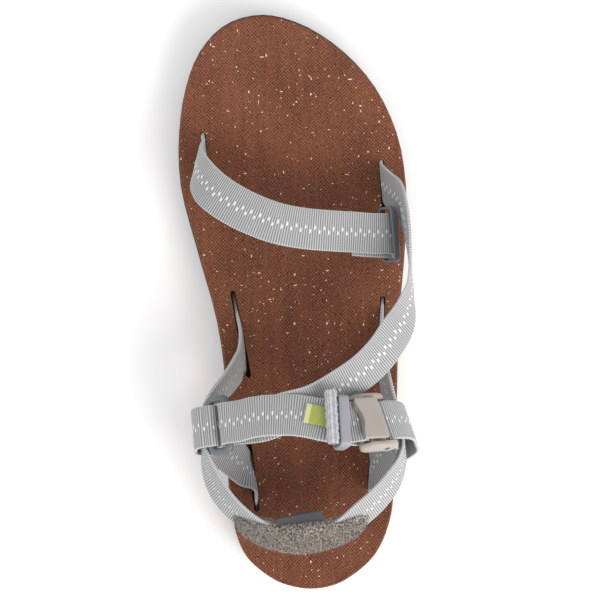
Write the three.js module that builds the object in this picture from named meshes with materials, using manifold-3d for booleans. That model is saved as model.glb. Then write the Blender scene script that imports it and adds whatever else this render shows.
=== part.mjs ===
// A right outdoor sandal: a contoured sole with seven slits, webbing straps that thread through it,
// two rings, a lever buckle and a fleece heel pad.
// Millimetres. +Z is up, +Y runs to the toe, +X to the outer side of the foot.
// The origin is on the floor, at the middle of the flat that the heel rests on.
import * as THREE from "three";
import { mergeVertices } from "three/addons/utils/BufferGeometryUtils.js";
import Module from "manifold-3d";

const wasm = await Module();
wasm.setup();

// Sole
const SOLE_LENGTH = 274;
const BALL_WIDTH = 109;
const HEEL_REST = 29.5;
const HEEL_STACK = 22;
const FOREFOOT_STACK = 17;
const TOE_STACK = 14;
const TOE_SPRING = 9;
const TOE_WRAP = 4;
const ARCH_LIFT = 2.5;
const HEEL_BEVEL = 2;
const OUTSOLE_THICKNESS = 6;
const LUG_HEIGHT = 3;
const LUG_PITCH = 14;
const LUG_GROOVE = 4;
const LUG_SWEEP = 5;
const LUG_COLUMN = 19;
const OUTSOLE_PROUD = 0.9;
const SIDE_STEP = 0.7;
const RIM_RISE = 2;
const ARCH_SUPPORT = 3;
const EDGE_BEVEL = 1;

// Webbing and the slits it threads through
const WEBBING_WIDTH = 19;
const WEBBING_THICKNESS = 1.6;
const INSTEP_HEIGHT = 58;
const SLIT_WIDTH = 2.6;
const SLIT_DEPTH = 6.5;
const FIT_GAP = 0.3;

// Rings
const RING_BAR = 3.6;
const RING_SPACING = 9.2;
const RING_END_GAP = 0.9;
const RING_CORNER = 2.7;
const TOE_RING_END_GAP = 2.2;
const TOE_RING_WIDTH = 3;
const TOE_RING_THICKNESS = 1.6;

// Buckle, adjuster and strap end
const BUCKLE_LENGTH = 21.8;
const BUCKLE_WIDTH = 26;
const CHEEK_THICKNESS = 2.3;
const CHEEK_HEIGHT = 7;
const CHEEK_CORNER = 3.5;
const BUCKLE_BAR = 2.4;
const PIVOT_HOLE = 1.8;
const LEVER_LENGTH = 11.8;
const LEVER_THICKNESS = 3;
const LEVER_SCOOP = 1.6;
const ADJUSTER_BAR_WIDTH = 4.8;
const ADJUSTER_THICKNESS = 1.6;
const HEM_LENGTH = 5.4;
const HEM_WIDTH = 24.4;
const HEM_SHIFT = 1.6;
const HEM_THICKNESS = 3.8;
const LABEL_WIDTH = 9;
const LABEL_THICKNESS = 0.9;
const LABEL_START = -0.026;
const LABEL_END = 0.076;

// Heel pad and its tab
const PAD_HEIGHT = 25;
const PAD_THICKNESS = 7.4;
const TAB_LENGTH = 21;
const TAB_HEIGHT = 7;
const TAB_THICKNESS = 1;
const TAB_MIDDLE = -0.044;
const TAB_RAISE = 11;
const PAD_REACH = 0.138;
const PAD_TIP = 0.4;

// Half outlines of the sole: along is the share of its length from the heel end,
// inner and outer are shares of the ball width from the line through the heel.
const OUTLINE = [
  { along: 0.004, inner: -0.075, outer: 0.083 },
  { along: 0.016, inner: -0.157, outer: 0.157 },
  { along: 0.058, inner: -0.281, outer: 0.281 },
  { along: 0.12, inner: -0.338, outer: 0.35 },
  { along: 0.21, inner: -0.36, outer: 0.372 },
  { along: 0.33, inner: -0.363, outer: 0.381 },
  { along: 0.46, inner: -0.403, outer: 0.387 },
  { along: 0.58, inner: -0.486, outer: 0.414 },
  { along: 0.71, inner: -0.57, outer: 0.421 },
  { along: 0.8, inner: -0.576, outer: 0.38 },
  { along: 0.88, inner: -0.544, outer: 0.282 },
  { along: 0.94, inner: -0.48, outer: 0.14 },
  { along: 0.984, inner: -0.367, outer: -0.04 },
];
const HEEL_END = 0.004;
const TOE_TIP = -0.212;

// The slits: length is a share of the sole's length, lean the turn of the toe end to the outer side
// in degrees, slope the webbing's rise out of the slit, fore 1 where it rises to the toe, else -1,
// shift the webbing's place from the middle of the slit, a share of the slit's length.
const SLITS = {
  toeInner: { along: 0.755, across: -0.465, length: 0.088, lean: -4, slope: 66, fore: -1, shift: -0.05 },
  toeOuter: { along: 0.706, across: 0.322, length: 0.088, lean: -3, slope: 66, fore: -1, shift: -0.05 },
  ringOuter: { along: 0.613, across: 0.335, length: 0.08, lean: -3, slope: 84, fore: -1, shift: 0 },
  midInner: { along: 0.444, across: -0.305, length: 0.155, lean: -11, slope: 74, fore: -1, shift: -0.25 },
  midOuter: { along: 0.442, across: 0.31, length: 0.138, lean: 4, slope: 74, fore: -1, shift: -0.22 },
  heelInner: { along: 0.193, across: -0.25, length: 0.118, lean: -7, slope: 46, fore: 1, shift: -0.03 },
  heelOuter: { along: 0.205, across: 0.268, length: 0.11, lean: 3, slope: 72, fore: 1, shift: 0 },
};

// The strap tables: along as above, across a share of the ball width, up a share of the instep
// height above the footbed; ahead, side and rise give the direction of the webbing's width.
const TOE_STRAP = [
  { along: 0.745, across: -0.492, up: 0.155, ahead: 0.9, side: 0, rise: 0.44 },
  { along: 0.733, across: -0.501, up: 0.293, ahead: 0.92, side: 0.05, rise: 0.38 },
  { along: 0.714, across: -0.478, up: 0.414, ahead: 0.92, side: 0.2, rise: 0.3 },
  { along: 0.692, across: -0.424, up: 0.509, ahead: 0.9, side: 0.4, rise: 0.15 },
  { along: 0.669, across: -0.346, up: 0.569, ahead: 0.88, side: 0.46, rise: 0.08 },
  { along: 0.65, across: -0.256, up: 0.603, ahead: 0.9, side: 0.42, rise: 0.03 },
  { along: 0.634, across: -0.15, up: 0.612, ahead: 0.95, side: 0.3, rise: 0 },
  { along: 0.625, across: -0.036, up: 0.59, ahead: 0.98, side: 0.17, rise: 0 },
  { along: 0.621, across: 0.084, up: 0.545, ahead: 1, side: 0.07, rise: 0 },
  { along: 0.619, across: 0.191, up: 0.48, ahead: 1, side: 0, rise: 0 },
  { along: 0.617, across: 0.27, up: 0.42, ahead: 1, side: -0.04, rise: 0 },
  { along: 0.617, across: 0.322, up: 0.36, ahead: 1, side: -0.07, rise: 0 },
  { along: 0.616, across: 0.348, up: 0.29, ahead: 1, side: -0.08, rise: 0.02 },
  { along: 0.614, across: 0.368, up: 0.207, ahead: 1, side: -0.08, rise: 0.03 },
  { along: 0.613, across: 0.374, up: 0.138, ahead: 1, side: -0.07, rise: 0.04 },
  { along: 0.613, across: 0.36, up: 0.07, ahead: 1, side: -0.06, rise: 0.06 },
];
// The folded end under the toe strap: its start and end as shares of the strap's path, and its
// shift to the heel
const TOE_TAIL = { from: 0.57, to: 0.76, shift: 1.5 };
const INSTEP_RISE = [
  { along: 0.693, across: 0.351, up: 0.155, ahead: 0.86, side: 0.02, rise: 0.5 },
  { along: 0.679, across: 0.383, up: 0.293, ahead: 0.7, side: 0.1, rise: 0.7 },
  { along: 0.656, across: 0.4, up: 0.414, ahead: 0.44, side: 0.1, rise: 0.88 },
  { along: 0.623, across: 0.415, up: 0.49, ahead: 0.2, side: 0.05, rise: 0.97 },
  { along: 0.588, across: 0.423, up: 0.535, ahead: 0.08, side: -0.02, rise: 1 },
  { along: 0.554, across: 0.426, up: 0.569, ahead: 0.06, side: -0.08, rise: 1 },
  { along: 0.521, across: 0.423, up: 0.612, ahead: 0.08, side: -0.2, rise: 0.97 },
  { along: 0.494, across: 0.41, up: 0.655, ahead: 0.16, side: -0.45, rise: 0.87 },
  { along: 0.468, across: 0.386, up: 0.69, ahead: 0.32, side: -0.62, rise: 0.7 },
  { along: 0.445, across: 0.349, up: 0.733, ahead: 0.5, side: -0.65, rise: 0.57 },
  { along: 0.416, across: 0.297, up: 0.765, ahead: 0.56, side: -0.61, rise: 0.55 },
  { along: 0.388, across: 0.226, up: 0.79, ahead: 0.58, side: -0.58, rise: 0.55 },
  { along: 0.362, across: 0.132, up: 0.805, ahead: 0.68, side: -0.42, rise: 0.52 },
  { along: 0.342, across: 0.018, up: 0.815, ahead: 0.85, side: -0.25, rise: 0.3 },
  { along: 0.327, across: -0.094, up: 0.795, ahead: 0.94, side: -0.15, rise: 0.1 },
  { along: 0.313, across: -0.202, up: 0.75, ahead: 0.97, side: -0.1, rise: -0.08 },
];
const INSTEP_RETURN = [
  { along: 0.303, across: -0.3, up: 0.775, ahead: 0.97, side: -0.08, rise: -0.22 },
  { along: 0.309, across: -0.251, up: 0.836, ahead: 0.96, side: -0.05, rise: -0.26 },
  { along: 0.313, across: -0.197, up: 0.879, ahead: 0.95, side: -0.02, rise: -0.3 },
  { along: 0.315, across: -0.114, up: 0.922, ahead: 0.95, side: 0, rise: -0.3 },
  { along: 0.315, across: -0.061, up: 0.948, ahead: 0.95, side: 0, rise: -0.3 },
  { along: 0.313, across: 0.008, up: 0.97, ahead: 0.95, side: 0, rise: -0.3 },
  { along: 0.311, across: 0.063, up: 0.976, ahead: 0.95, side: 0, rise: -0.3 },
];
const HEEL_STRAP = [
  { along: 0.396, across: -0.3, up: 0.103, ahead: 0.85, side: -0.15, rise: 0.45 },
  { along: 0.381, across: -0.32, up: 0.19, ahead: 0.72, side: -0.14, rise: 0.66 },
  { along: 0.361, across: -0.357, up: 0.267, ahead: 0.66, side: -0.12, rise: 0.72 },
  { along: 0.342, across: -0.4, up: 0.32, ahead: 0.5, side: -0.06, rise: 0.85 },
  { along: 0.325, across: -0.44, up: 0.35, ahead: 0.3, side: 0, rise: 0.95 },
  { along: 0.305, across: -0.463, up: 0.37, ahead: 0.12, side: 0, rise: 0.99 },
  { along: 0.283, across: -0.467, up: 0.38, ahead: 0.04, side: 0.02, rise: 1 },
  { along: 0.258, across: -0.461, up: 0.386, ahead: 0, side: 0.08, rise: 0.99 },
  { along: 0.24, across: -0.45, up: 0.4, ahead: 0.02, side: 0.2, rise: 0.97 },
  { along: 0.215, across: -0.432, up: 0.42, ahead: 0.1, side: 0.36, rise: 0.92 },
  { along: 0.182, across: -0.393, up: 0.45, ahead: 0.22, side: 0.45, rise: 0.86 },
  { along: 0.149, across: -0.325, up: 0.48, ahead: 0.36, side: 0.38, rise: 0.85 },
  { along: 0.115, across: -0.2, up: 0.505, ahead: 0.48, side: 0.16, rise: 0.86 },
  { along: 0.103, across: -0.044, up: 0.51, ahead: 0.52, side: 0, rise: 0.85 },
  { along: 0.115, across: 0.11, up: 0.505, ahead: 0.46, side: -0.2, rise: 0.86 },
  { along: 0.145, across: 0.232, up: 0.48, ahead: 0.32, side: -0.34, rise: 0.87 },
  { along: 0.174, across: 0.315, up: 0.455, ahead: 0.2, side: -0.34, rise: 0.91 },
  { along: 0.202, across: 0.37, up: 0.425, ahead: 0.1, side: -0.26, rise: 0.95 },
  { along: 0.23, across: 0.398, up: 0.4, ahead: 0.02, side: -0.1, rise: 1 },
  { along: 0.256, across: 0.4, up: 0.386, ahead: 0, side: 0, rise: 1 },
  { along: 0.28, across: 0.387, up: 0.38, ahead: 0.04, side: 0.02, rise: 1 },
  { along: 0.302, across: 0.372, up: 0.37, ahead: 0.12, side: 0.05, rise: 0.99 },
  { along: 0.322, across: 0.355, up: 0.35, ahead: 0.3, side: 0.08, rise: 0.95 },
  { along: 0.342, across: 0.338, up: 0.315, ahead: 0.5, side: 0.1, rise: 0.85 },
  { along: 0.361, across: 0.324, up: 0.262, ahead: 0.6, side: 0.12, rise: 0.79 },
  { along: 0.381, across: 0.313, up: 0.19, ahead: 0.72, side: 0.1, rise: 0.68 },
  { along: 0.396, across: 0.307, up: 0.103, ahead: 0.86, side: 0.04, rise: 0.45 },
];
// The bands that hang the heel strap, from the bar outward, down, inward and up, and their legs
const INNER_BAND = [
  { along: 0.29, across: -0.462, up: 0.614 },
  { along: 0.285, across: -0.488, up: 0.54 },
  { along: 0.28, across: -0.496, up: 0.414 },
  { along: 0.277, across: -0.497, up: 0.23 },
  { along: 0.275, across: -0.464, up: 0.11 },
  { along: 0.277, across: -0.428, up: 0.2 },
  { along: 0.28, across: -0.423, up: 0.34 },
  { along: 0.285, across: -0.42, up: 0.46 },
];
const INNER_LEG = [
  { along: 0.213, across: -0.282, up: 0.05, ahead: 0.68, side: 0.35, rise: -0.62 },
  { along: 0.24, across: -0.325, up: 0.085, ahead: 0.8, side: 0.42, rise: -0.42 },
  { along: 0.262, across: -0.38, up: 0.1, ahead: 0.93, side: 0.2, rise: -0.28 },
  { along: 0.273, across: -0.43, up: 0.11, ahead: 0.97, side: -0.02, rise: -0.22 },
  { along: 0.275, across: -0.47, up: 0.11, ahead: 0.97, side: -0.1, rise: -0.2 },
];
const OUTER_BAND = [
  { along: 0.29, across: 0.394, up: 0.67 },
  { along: 0.285, across: 0.423, up: 0.569 },
  { along: 0.28, across: 0.433, up: 0.431 },
  { along: 0.27, across: 0.436, up: 0.22 },
  { along: 0.265, across: 0.382, up: 0.09 },
  { along: 0.27, across: 0.347, up: 0.2 },
  { along: 0.28, across: 0.343, up: 0.36 },
  { along: 0.285, across: 0.341, up: 0.5 },
  { along: 0.29, across: 0.33, up: 0.6 },
];
const OUTER_LEG = [
  { along: 0.222, across: 0.292, up: 0.05, ahead: 0.72, side: -0.25, rise: -0.65 },
  { along: 0.241, across: 0.325, up: 0.08, ahead: 0.82, side: -0.35, rise: -0.47 },
  { along: 0.257, across: 0.36, up: 0.095, ahead: 0.88, side: -0.33, rise: -0.4 },
  { along: 0.266, across: 0.387, up: 0.09, ahead: 0.88, side: -0.29, rise: -0.37 },
];

// Where the hardware sits: ahead, side and rise give its long axis across the webbing,
// runAhead, runSide and runRise the way the webbing runs through it.
const SEATS = {
  ankleRing: {
    along: 0.294, across: -0.384, up: 0.621,
    ahead: 0.97, side: -0.1, rise: -0.2,
    runAhead: 0, runSide: 0.87, runRise: 0.5,
  },
  toeRing: {
    along: 0.616, across: 0.348, up: 0.29,
    ahead: 1, side: -0.09, rise: 0.02,
    runAhead: 0, runSide: 0.4, runRise: -0.92,
  },
  adjuster: {
    along: 0.303, across: 0.127, up: 0.957,
    ahead: 0.95, side: -0.05, rise: -0.3,
    runAhead: 0, runSide: 0.94, runRise: -0.34,
  },
  buckle: {
    along: 0.3, across: 0.25, up: 0.8,
    ahead: 0.88, side: -0.29, rise: -0.37,
    runAhead: 0, runSide: 0.8, runRise: -0.6,
  },
};
// The strap end above the instep layer: run and out are in webbing thicknesses from the adjuster
const STRAP_TAIL = [
  { run: 1.4, out: 0.68 },
  { run: 0, out: 0.68 },
  { run: -1.8, out: 1.5 },
  { run: -3.5, out: 2.35 },
  { run: -4.5, out: 2.5 },
];

const STATIONS = 44;
const ACROSS_STEPS = 10;
const SPAN_STEPS = 3;

const radians = THREE.MathUtils.degToRad;
const step = THREE.MathUtils.smoothstep;
const vector = (x, y, z) => new THREE.Vector3(x, y, z);
const offset = (point, ...moves) => {
  const out = point.clone();
  for (const [direction, distance] of moves) out.addScaledVector(direction, distance);
  return out;
};

// Heights of the sole as functions of the share along it
function underside(along) {
  const spring = TOE_SPRING * Math.max(0, (along - 0.76) / 0.24) ** 1.8;
  const bevel = HEEL_BEVEL * Math.max(0, (0.07 - along) / 0.07) ** 1.5;
  const arch = ARCH_LIFT * step(along, 0.3, 0.4) * (1 - step(along, 0.42, 0.52));
  return spring + bevel + arch;
}

function deck(along) {
  const toForefoot = (HEEL_STACK - FOREFOOT_STACK) * step(along, 0.3, 0.52);
  const toToe = (FOREFOOT_STACK - TOE_STACK) * step(along, 0.76, 1);
  const spring = TOE_SPRING * Math.max(0, (along - 0.76) / 0.24) ** 1.8;
  return HEEL_STACK - toForefoot - toToe + spring;
}

// The contour of the footbed: a raised rim round heel and arch, and the support of the inner arch
function contour(along, across) {
  const edge = Math.max(Math.abs(across) ** 3, Math.max(0, 1 - along / 0.12) ** 2);
  const rim = RIM_RISE * edge * (1 - step(along, 0.5, 0.7));
  const crest = step(along, 0.25, 0.4) * (1 - step(along, 0.42, 0.6));
  return rim + ARCH_SUPPORT * crest * Math.max(0, -across) ** 2;
}

const alongOf = (y) => (y + HEEL_REST) / SOLE_LENGTH;
const floorSpot = (along, across) => vector(across * BALL_WIDTH, along * SOLE_LENGTH - HEEL_REST, 0);
const spot = ({ along, across, up }) =>
  floorSpot(along, across).setZ(deck(along) + up * INSTEP_HEIGHT);

// The outline as matching points of the inner and outer edge, from heel to toe and back
function soleEdge() {
  const inner = OUTLINE.map((row) => floorSpot(row.along, row.inner));
  const outer = OUTLINE.map((row) => floorSpot(row.along, row.outer));
  const corners = [floorSpot(0, HEEL_END), ...inner, floorSpot(1, TOE_TIP), ...outer.reverse()];
  const loop = new THREE.CatmullRomCurve3(corners, true, "centripetal").getSpacedPoints(720).slice(0, -1);
  const ys = loop.map((point) => point.y);
  const [heel, toe] = [ys.indexOf(Math.min(...ys)), ys.indexOf(Math.max(...ys))];
  const walk = (from, to) => {
    const count = (to - from + loop.length) % loop.length;
    return Array.from({ length: count + 1 }, (_, i) => loop[(from + i) % loop.length]);
  };
  const at = (side, y) => {
    const i = Math.max(1, side.findIndex((point) => point.y >= y));
    const share = (y - side[i - 1].y) / (side[i].y - side[i - 1].y);
    return side[i - 1].clone().lerp(side[i], THREE.MathUtils.clamp(share, 0, 1));
  };
  const stations = Array.from({ length: STATIONS + 1 }, (_, i) => {
    const share = (1 - Math.cos((Math.PI * i) / STATIONS)) / 2;
    return THREE.MathUtils.lerp(ys[heel], ys[toe], share);
  });
  const innerSide = walk(heel, toe);
  const outerSide = walk(toe, heel).reverse();
  return [
    ...stations.map((y) => at(innerSide, y)),
    ...stations.slice(1, -1).reverse().map((y) => at(outerSide, y)),
  ];
}

const EDGE = soleEdge();

function insetEdge(inset) {
  return EDGE.map((point, i) => {
    const before = EDGE[(i + EDGE.length - 1) % EDGE.length];
    const after = EDGE[(i + 1) % EDGE.length];
    const heading = after.clone().sub(before).normalize();
    return vector(point.x + heading.y * inset, point.y - heading.x * inset, 0);
  });
}

// One closed body from a list of triangles, each a list of three points
function bodyOf(triangles) {
  const geometry = new THREE.BufferGeometry().setFromPoints(triangles.flat());
  return solidOf(geometry);
}

function solidOf(geometry) {
  const bare = geometry.index ? geometry.toNonIndexed() : geometry.clone();
  bare.deleteAttribute("normal");
  bare.deleteAttribute("uv");
  const merged = mergeVertices(bare, 1e-4);
  const kept = [];
  for (let i = 0; i < merged.index.count; i += 3) {
    const corner = [0, 1, 2].map((k) => merged.index.getX(i + k));
    if (new Set(corner).size === 3) kept.push(...corner);
  }
  return new wasm.Manifold(new wasm.Mesh({
    numProp: 3,
    vertProperties: new Float32Array(merged.attributes.position.array),
    triVerts: new Uint32Array(kept),
  }));
}

function quad(a, b, c, d) {
  return [[a, b, c], [a, c, d]];
}

// A layer of the sole from levels listed upward, each an inset of the outline and a height
// as a function of the shares along and across
function slab(levels) {
  const triangles = [];
  const rings = levels.map(({ inset, height }) =>
    insetEdge(inset).map((point, i) => {
      const across = i % STATIONS === 0 ? 0 : i < STATIONS ? -1 : 1;
      return point.setZ(height(alongOf(point.y), across));
    }));
  for (let layer = 0; layer < rings.length - 1; layer += 1) {
    const [low, high] = [rings[layer], rings[layer + 1]];
    low.forEach((point, i) => {
      const next = (i + 1) % low.length;
      triangles.push(...quad(point, high[i], high[next], low[next]));
    });
  }
  const cap = (ring, height) => {
    const grid = Array.from({ length: STATIONS + 1 }, (_, i) => {
      const [inner, outer] = [ring[i], ring[(ring.length - i) % ring.length]];
      return Array.from({ length: ACROSS_STEPS + 1 }, (__, j) => {
        if (j === 0 || i % STATIONS === 0) return inner;
        if (j === ACROSS_STEPS) return outer;
        const across = -Math.cos((Math.PI * j) / ACROSS_STEPS);
        const point = inner.clone().lerp(outer, (across + 1) / 2);
        return point.setZ(height(alongOf(point.y), across));
      });
    });
    return grid.slice(1).flatMap((row, i) =>
      row.slice(1).flatMap((point, j) => quad(grid[i][j], grid[i][j + 1], point, row[j])));
  };
  const lowest = cap(rings[0], levels[0].height).map(([a, b, c]) => [a, c, b]);
  const top = levels[levels.length - 1];
  triangles.push(...lowest, ...cap(rings[rings.length - 1], top.height));
  return bodyOf(triangles);
}

// A path of points p with the width direction w, smoothed between its rows
function smooth(rows, closed = false, steps = SPAN_STEPS) {
  const spans = closed ? rows.length : rows.length - 1;
  const points = new THREE.CatmullRomCurve3(rows.map((row) => row.p), closed, "centripetal");
  const widths = new THREE.CatmullRomCurve3(rows.map((row) => row.w), closed, "centripetal");
  const count = spans * steps + (closed ? 0 : 1);
  return Array.from({ length: count }, (_, i) => {
    const share = i / (spans * steps);
    return { p: points.getPoint(share), w: widths.getPoint(share) };
  });
}

// Each row of a path with its run t, width w and outward n as unit vectors at right angles
function framed(path, closed) {
  const last = path.length - 1;
  return path.map(({ p, w }, i) => {
    const before = path[closed ? (i + last) % path.length : Math.max(0, i - 1)].p;
    const after = path[closed ? (i + 1) % path.length : Math.min(last, i + 1)].p;
    const t = after.clone().sub(before).normalize();
    const width = w.clone().addScaledVector(t, -w.dot(t)).normalize();
    return { p, t, w: width, n: t.clone().cross(width) };
  });
}

// A section, points of [across the width, outward], carried along a path
function sweep(path, section, closed = false, scale = () => 1) {
  const frames = framed(path, closed);
  const rings = frames.map(({ p, w, n }, i) => {
    const size = scale(i / (frames.length - 1));
    return section.map(([across, out]) => offset(p, [w, across * size], [n, out * size]));
  });
  const triangles = [];
  const links = closed ? rings.length : rings.length - 1;
  for (let i = 0; i < links; i += 1) {
    const [low, high] = [rings[i], rings[(i + 1) % rings.length]];
    low.forEach((point, j) => {
      const next = (j + 1) % low.length;
      triangles.push(...quad(point, low[next], high[next], high[j]));
    });
  }
  if (!closed) {
    const end = rings[rings.length - 1];
    rings[0].forEach((point, j) => {
      const next = (j + 1) % end.length;
      triangles.push([frames[0].p, rings[0][next], point]);
      triangles.push([frames[frames.length - 1].p, end[j], end[next]]);
    });
  }
  return bodyOf(triangles);
}

const rectangle = (width, thickness) => {
  const [w, t] = [width / 2, thickness / 2];
  return [[-w, -t], [w, -t], [w, t], [-w, t]];
};
const oval = (width, thickness, sides, power = 1) =>
  Array.from({ length: sides }, (_, i) => {
    const angle = ((i + 0.5) * 2 * Math.PI) / sides;
    const bulge = (value) => Math.sign(value) * Math.abs(value) ** power;
    return [(bulge(Math.cos(angle)) * width) / 2, (bulge(Math.sin(angle)) * thickness) / 2];
  });

const WEBBING = rectangle(WEBBING_WIDTH, WEBBING_THICKNESS);
const CLEAR_WEBBING = rectangle(WEBBING_WIDTH + 2 * FIT_GAP, WEBBING_THICKNESS + 2 * FIT_GAP);

const strapRows = (table) =>
  table.map((row) => ({ p: spot(row), w: vector(row.side, row.ahead, row.rise).normalize() }));

// The webbing inside a slit, from its foot upward; turned is -1 where the width points down
function legRows(slit, turned = 1) {
  const heading = radians(slit.lean);
  const toToe = vector(Math.sin(heading), Math.cos(heading), 0);
  const angle = radians(slit.slope);
  const run = offset(vector(0, 0, Math.sin(angle)), [toToe, slit.fore * Math.cos(angle)]);
  const across = offset(vector(0, 0, Math.cos(angle)), [toToe, -slit.fore * Math.sin(angle)]);
  const w = across.multiplyScalar(turned);
  const mouth = offset(spot({ ...slit, up: 0 }), [toToe, slit.shift * slit.length * SOLE_LENGTH]);
  const foot = -(SLIT_DEPTH + WEBBING_WIDTH / 2) / Math.sin(angle);
  return [foot, foot / 2, 1].map((along) => ({ p: offset(mouth, [run, along]), w }));
}

// A slit's pocket in the footbed, drawn in by gap on every side
function pocket(slit, gap) {
  const half = (slit.length * SOLE_LENGTH) / 2 - gap;
  const radius = SLIT_WIDTH / 2 - gap;
  const shape = new THREE.Shape();
  shape.absarc(0, half - radius, radius, 0, Math.PI);
  shape.absarc(0, radius - half, radius, Math.PI, 2 * Math.PI);
  const top = HEEL_STACK;
  const geometry = new THREE.ExtrudeGeometry(shape, {
    depth: top + SLIT_DEPTH - gap,
    bevelEnabled: false,
    curveSegments: 5,
  });
  geometry.translate(0, 0, gap - SLIT_DEPTH);
  geometry.rotateZ(-radians(slit.lean));
  const mouth = spot({ ...slit, up: 0 });
  return solidOf(geometry.translate(mouth.x, mouth.y, mouth.z));
}

// The local frame of a seat: a along the webbing's run, b across it, c outward
function seatOf(row) {
  const b = vector(row.side, row.ahead, row.rise).normalize();
  const run = vector(row.runSide, row.runAhead, row.runRise);
  const a = run.addScaledVector(b, -run.dot(b)).normalize();
  return { o: spot(row), a, b, c: a.clone().cross(b) };
}
const local = (seat, along, out, across = 0) =>
  offset(seat.o, [seat.a, along], [seat.c, out], [seat.b, across]);

// Rows round a bar that lies at along and out in its seat, from one angle to the other
function wrapRows(seat, along, out, radius, from, to) {
  const count = 5;
  return Array.from({ length: count }, (_, i) => {
    const angle = radians(THREE.MathUtils.lerp(from, to, i / (count - 1)));
    const [run, lift] = [radius * Math.cos(angle), radius * Math.sin(angle)];
    return { p: local(seat, along + run, out + lift), w: seat.b };
  });
}

// Geometry drawn with x as a, y as b and z as c, moved into its seat
function placed(seat, geometry) {
  const frame = new THREE.Matrix4().makeBasis(seat.a, seat.b, seat.c).setPosition(seat.o);
  return solidOf(geometry.clone().applyMatrix4(frame));
}

// A profile in the plane of a and c, carried across b
function crossBody(seat, profile, width, across) {
  const shape = new THREE.Shape(profile.map(([x, y]) => new THREE.Vector2(x, y)));
  const geometry = new THREE.ExtrudeGeometry(shape, { depth: width, bevelEnabled: false });
  geometry.rotateX(Math.PI / 2).translate(0, across + width / 2, 0);
  return placed(seat, geometry);
}

const circleAt = (along, out, radius) =>
  oval(2 * radius, 2 * radius, 12).map(([x, y]) => [along + x, out + y]);

const { ankleRing, toeRing, adjuster, buckle } = Object.fromEntries(
  Object.entries(SEATS).map(([name, row]) => [name, seatOf(row)]),
);
const wrapRadius = (bar) => bar / 2 + FIT_GAP + WEBBING_THICKNESS / 2;

// Sole
const outsoleThickness = (along) => OUTSOLE_THICKNESS + TOE_WRAP * step(along, 0.86, 1);
const splitHeight = (along) => underside(along) + outsoleThickness(along);
const footbedTop = (along, across) => deck(along) + contour(along, across);
const footbedLevels = (floor, lift) => [
  { inset: -lift, height: floor },
  { inset: -lift, height: (along, across) => footbedTop(along, across) - EDGE_BEVEL },
  { inset: EDGE_BEVEL - lift, height: (along, across) => footbedTop(along, across) + lift },
];
const bodyHeight = (share) => (along) =>
  underside(along) + THREE.MathUtils.lerp(LUG_HEIGHT, outsoleThickness(along), share);
const outsoleBody = slab([
  { inset: 0, height: bodyHeight(0) },
  { inset: -OUTSOLE_PROUD, height: bodyHeight(0.2) },
  { inset: -OUTSOLE_PROUD, height: bodyHeight(0.5) },
  { inset: SIDE_STEP - OUTSOLE_PROUD, height: bodyHeight(0.6) },
  { inset: SIDE_STEP - OUTSOLE_PROUD, height: bodyHeight(0.75) },
  { inset: -OUTSOLE_PROUD, height: bodyHeight(0.85) },
  { inset: -OUTSOLE_PROUD, height: bodyHeight(1) },
]);
const lugLayer = slab([
  { inset: SIDE_STEP, height: underside },
  { inset: 0, height: bodyHeight(0.1) },
]);

// Chevron blocks in three columns, a row of them centred on the heel's rest
function lugBlocks() {
  const half = (LUG_PITCH - LUG_GROOVE) / 2;
  const reach = BALL_WIDTH;
  const columns = [
    [-reach, -LUG_COLUMN - LUG_GROOVE / 2],
    [-LUG_COLUMN + LUG_GROOVE / 2, LUG_COLUMN - LUG_GROOVE / 2],
    [LUG_COLUMN + LUG_GROOVE / 2, reach],
  ];
  const first = -Math.round(HEEL_REST / LUG_PITCH);
  const rows = Math.ceil(SOLE_LENGTH / LUG_PITCH);
  const blocks = Array.from({ length: rows }, (_, i) => (first + i) * LUG_PITCH).flatMap((y) =>
    columns.map(([from, to]) => {
      const sweepAt = (x) => y - (Math.max(0, Math.abs(x) - LUG_COLUMN) * LUG_SWEEP) / LUG_COLUMN;
      const shape = new THREE.Shape([
        new THREE.Vector2(from, sweepAt(from) - half),
        new THREE.Vector2(to, sweepAt(to) - half),
        new THREE.Vector2(to, sweepAt(to) + half),
        new THREE.Vector2(from, sweepAt(from) + half),
      ]);
      const depth = TOE_SPRING + OUTSOLE_THICKNESS;
      return solidOf(new THREE.ExtrudeGeometry(shape, { depth, bevelEnabled: false }));
    }));
  return wasm.Manifold.union(blocks);
}
const outsole = outsoleBody.add(lugLayer.intersect(lugBlocks()));

const slits = Object.values(SLITS);
const footbedFloor = (along) => splitHeight(along) + FIT_GAP;
const footbed = slab(footbedLevels(footbedFloor, 0)).subtract(
  wasm.Manifold.union(slits.map((slit) => pocket(slit, 0))),
);
const seatCut = slab(footbedLevels(() => -HEEL_STACK, FIT_GAP)).subtract(
  wasm.Manifold.union(slits.map((slit) => pocket(slit, FIT_GAP))),
);

// Straps
const layerStep = WEBBING_THICKNESS / 2 + FIT_GAP;
const toePath = smooth([
  ...legRows(SLITS.toeInner),
  ...strapRows(TOE_STRAP),
  ...legRows(SLITS.ringOuter).reverse(),
]);
const toeStrap = sweep(toePath, WEBBING).subtract(seatCut);
const toeTail = sweep(
  framed(toePath)
    .slice(Math.round(TOE_TAIL.from * toePath.length), Math.round(TOE_TAIL.to * toePath.length))
    .map(({ p, w, n }) => ({ p: offset(p, [n, -2 * layerStep], [w, -TOE_TAIL.shift]), w })),
  WEBBING,
);

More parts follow.
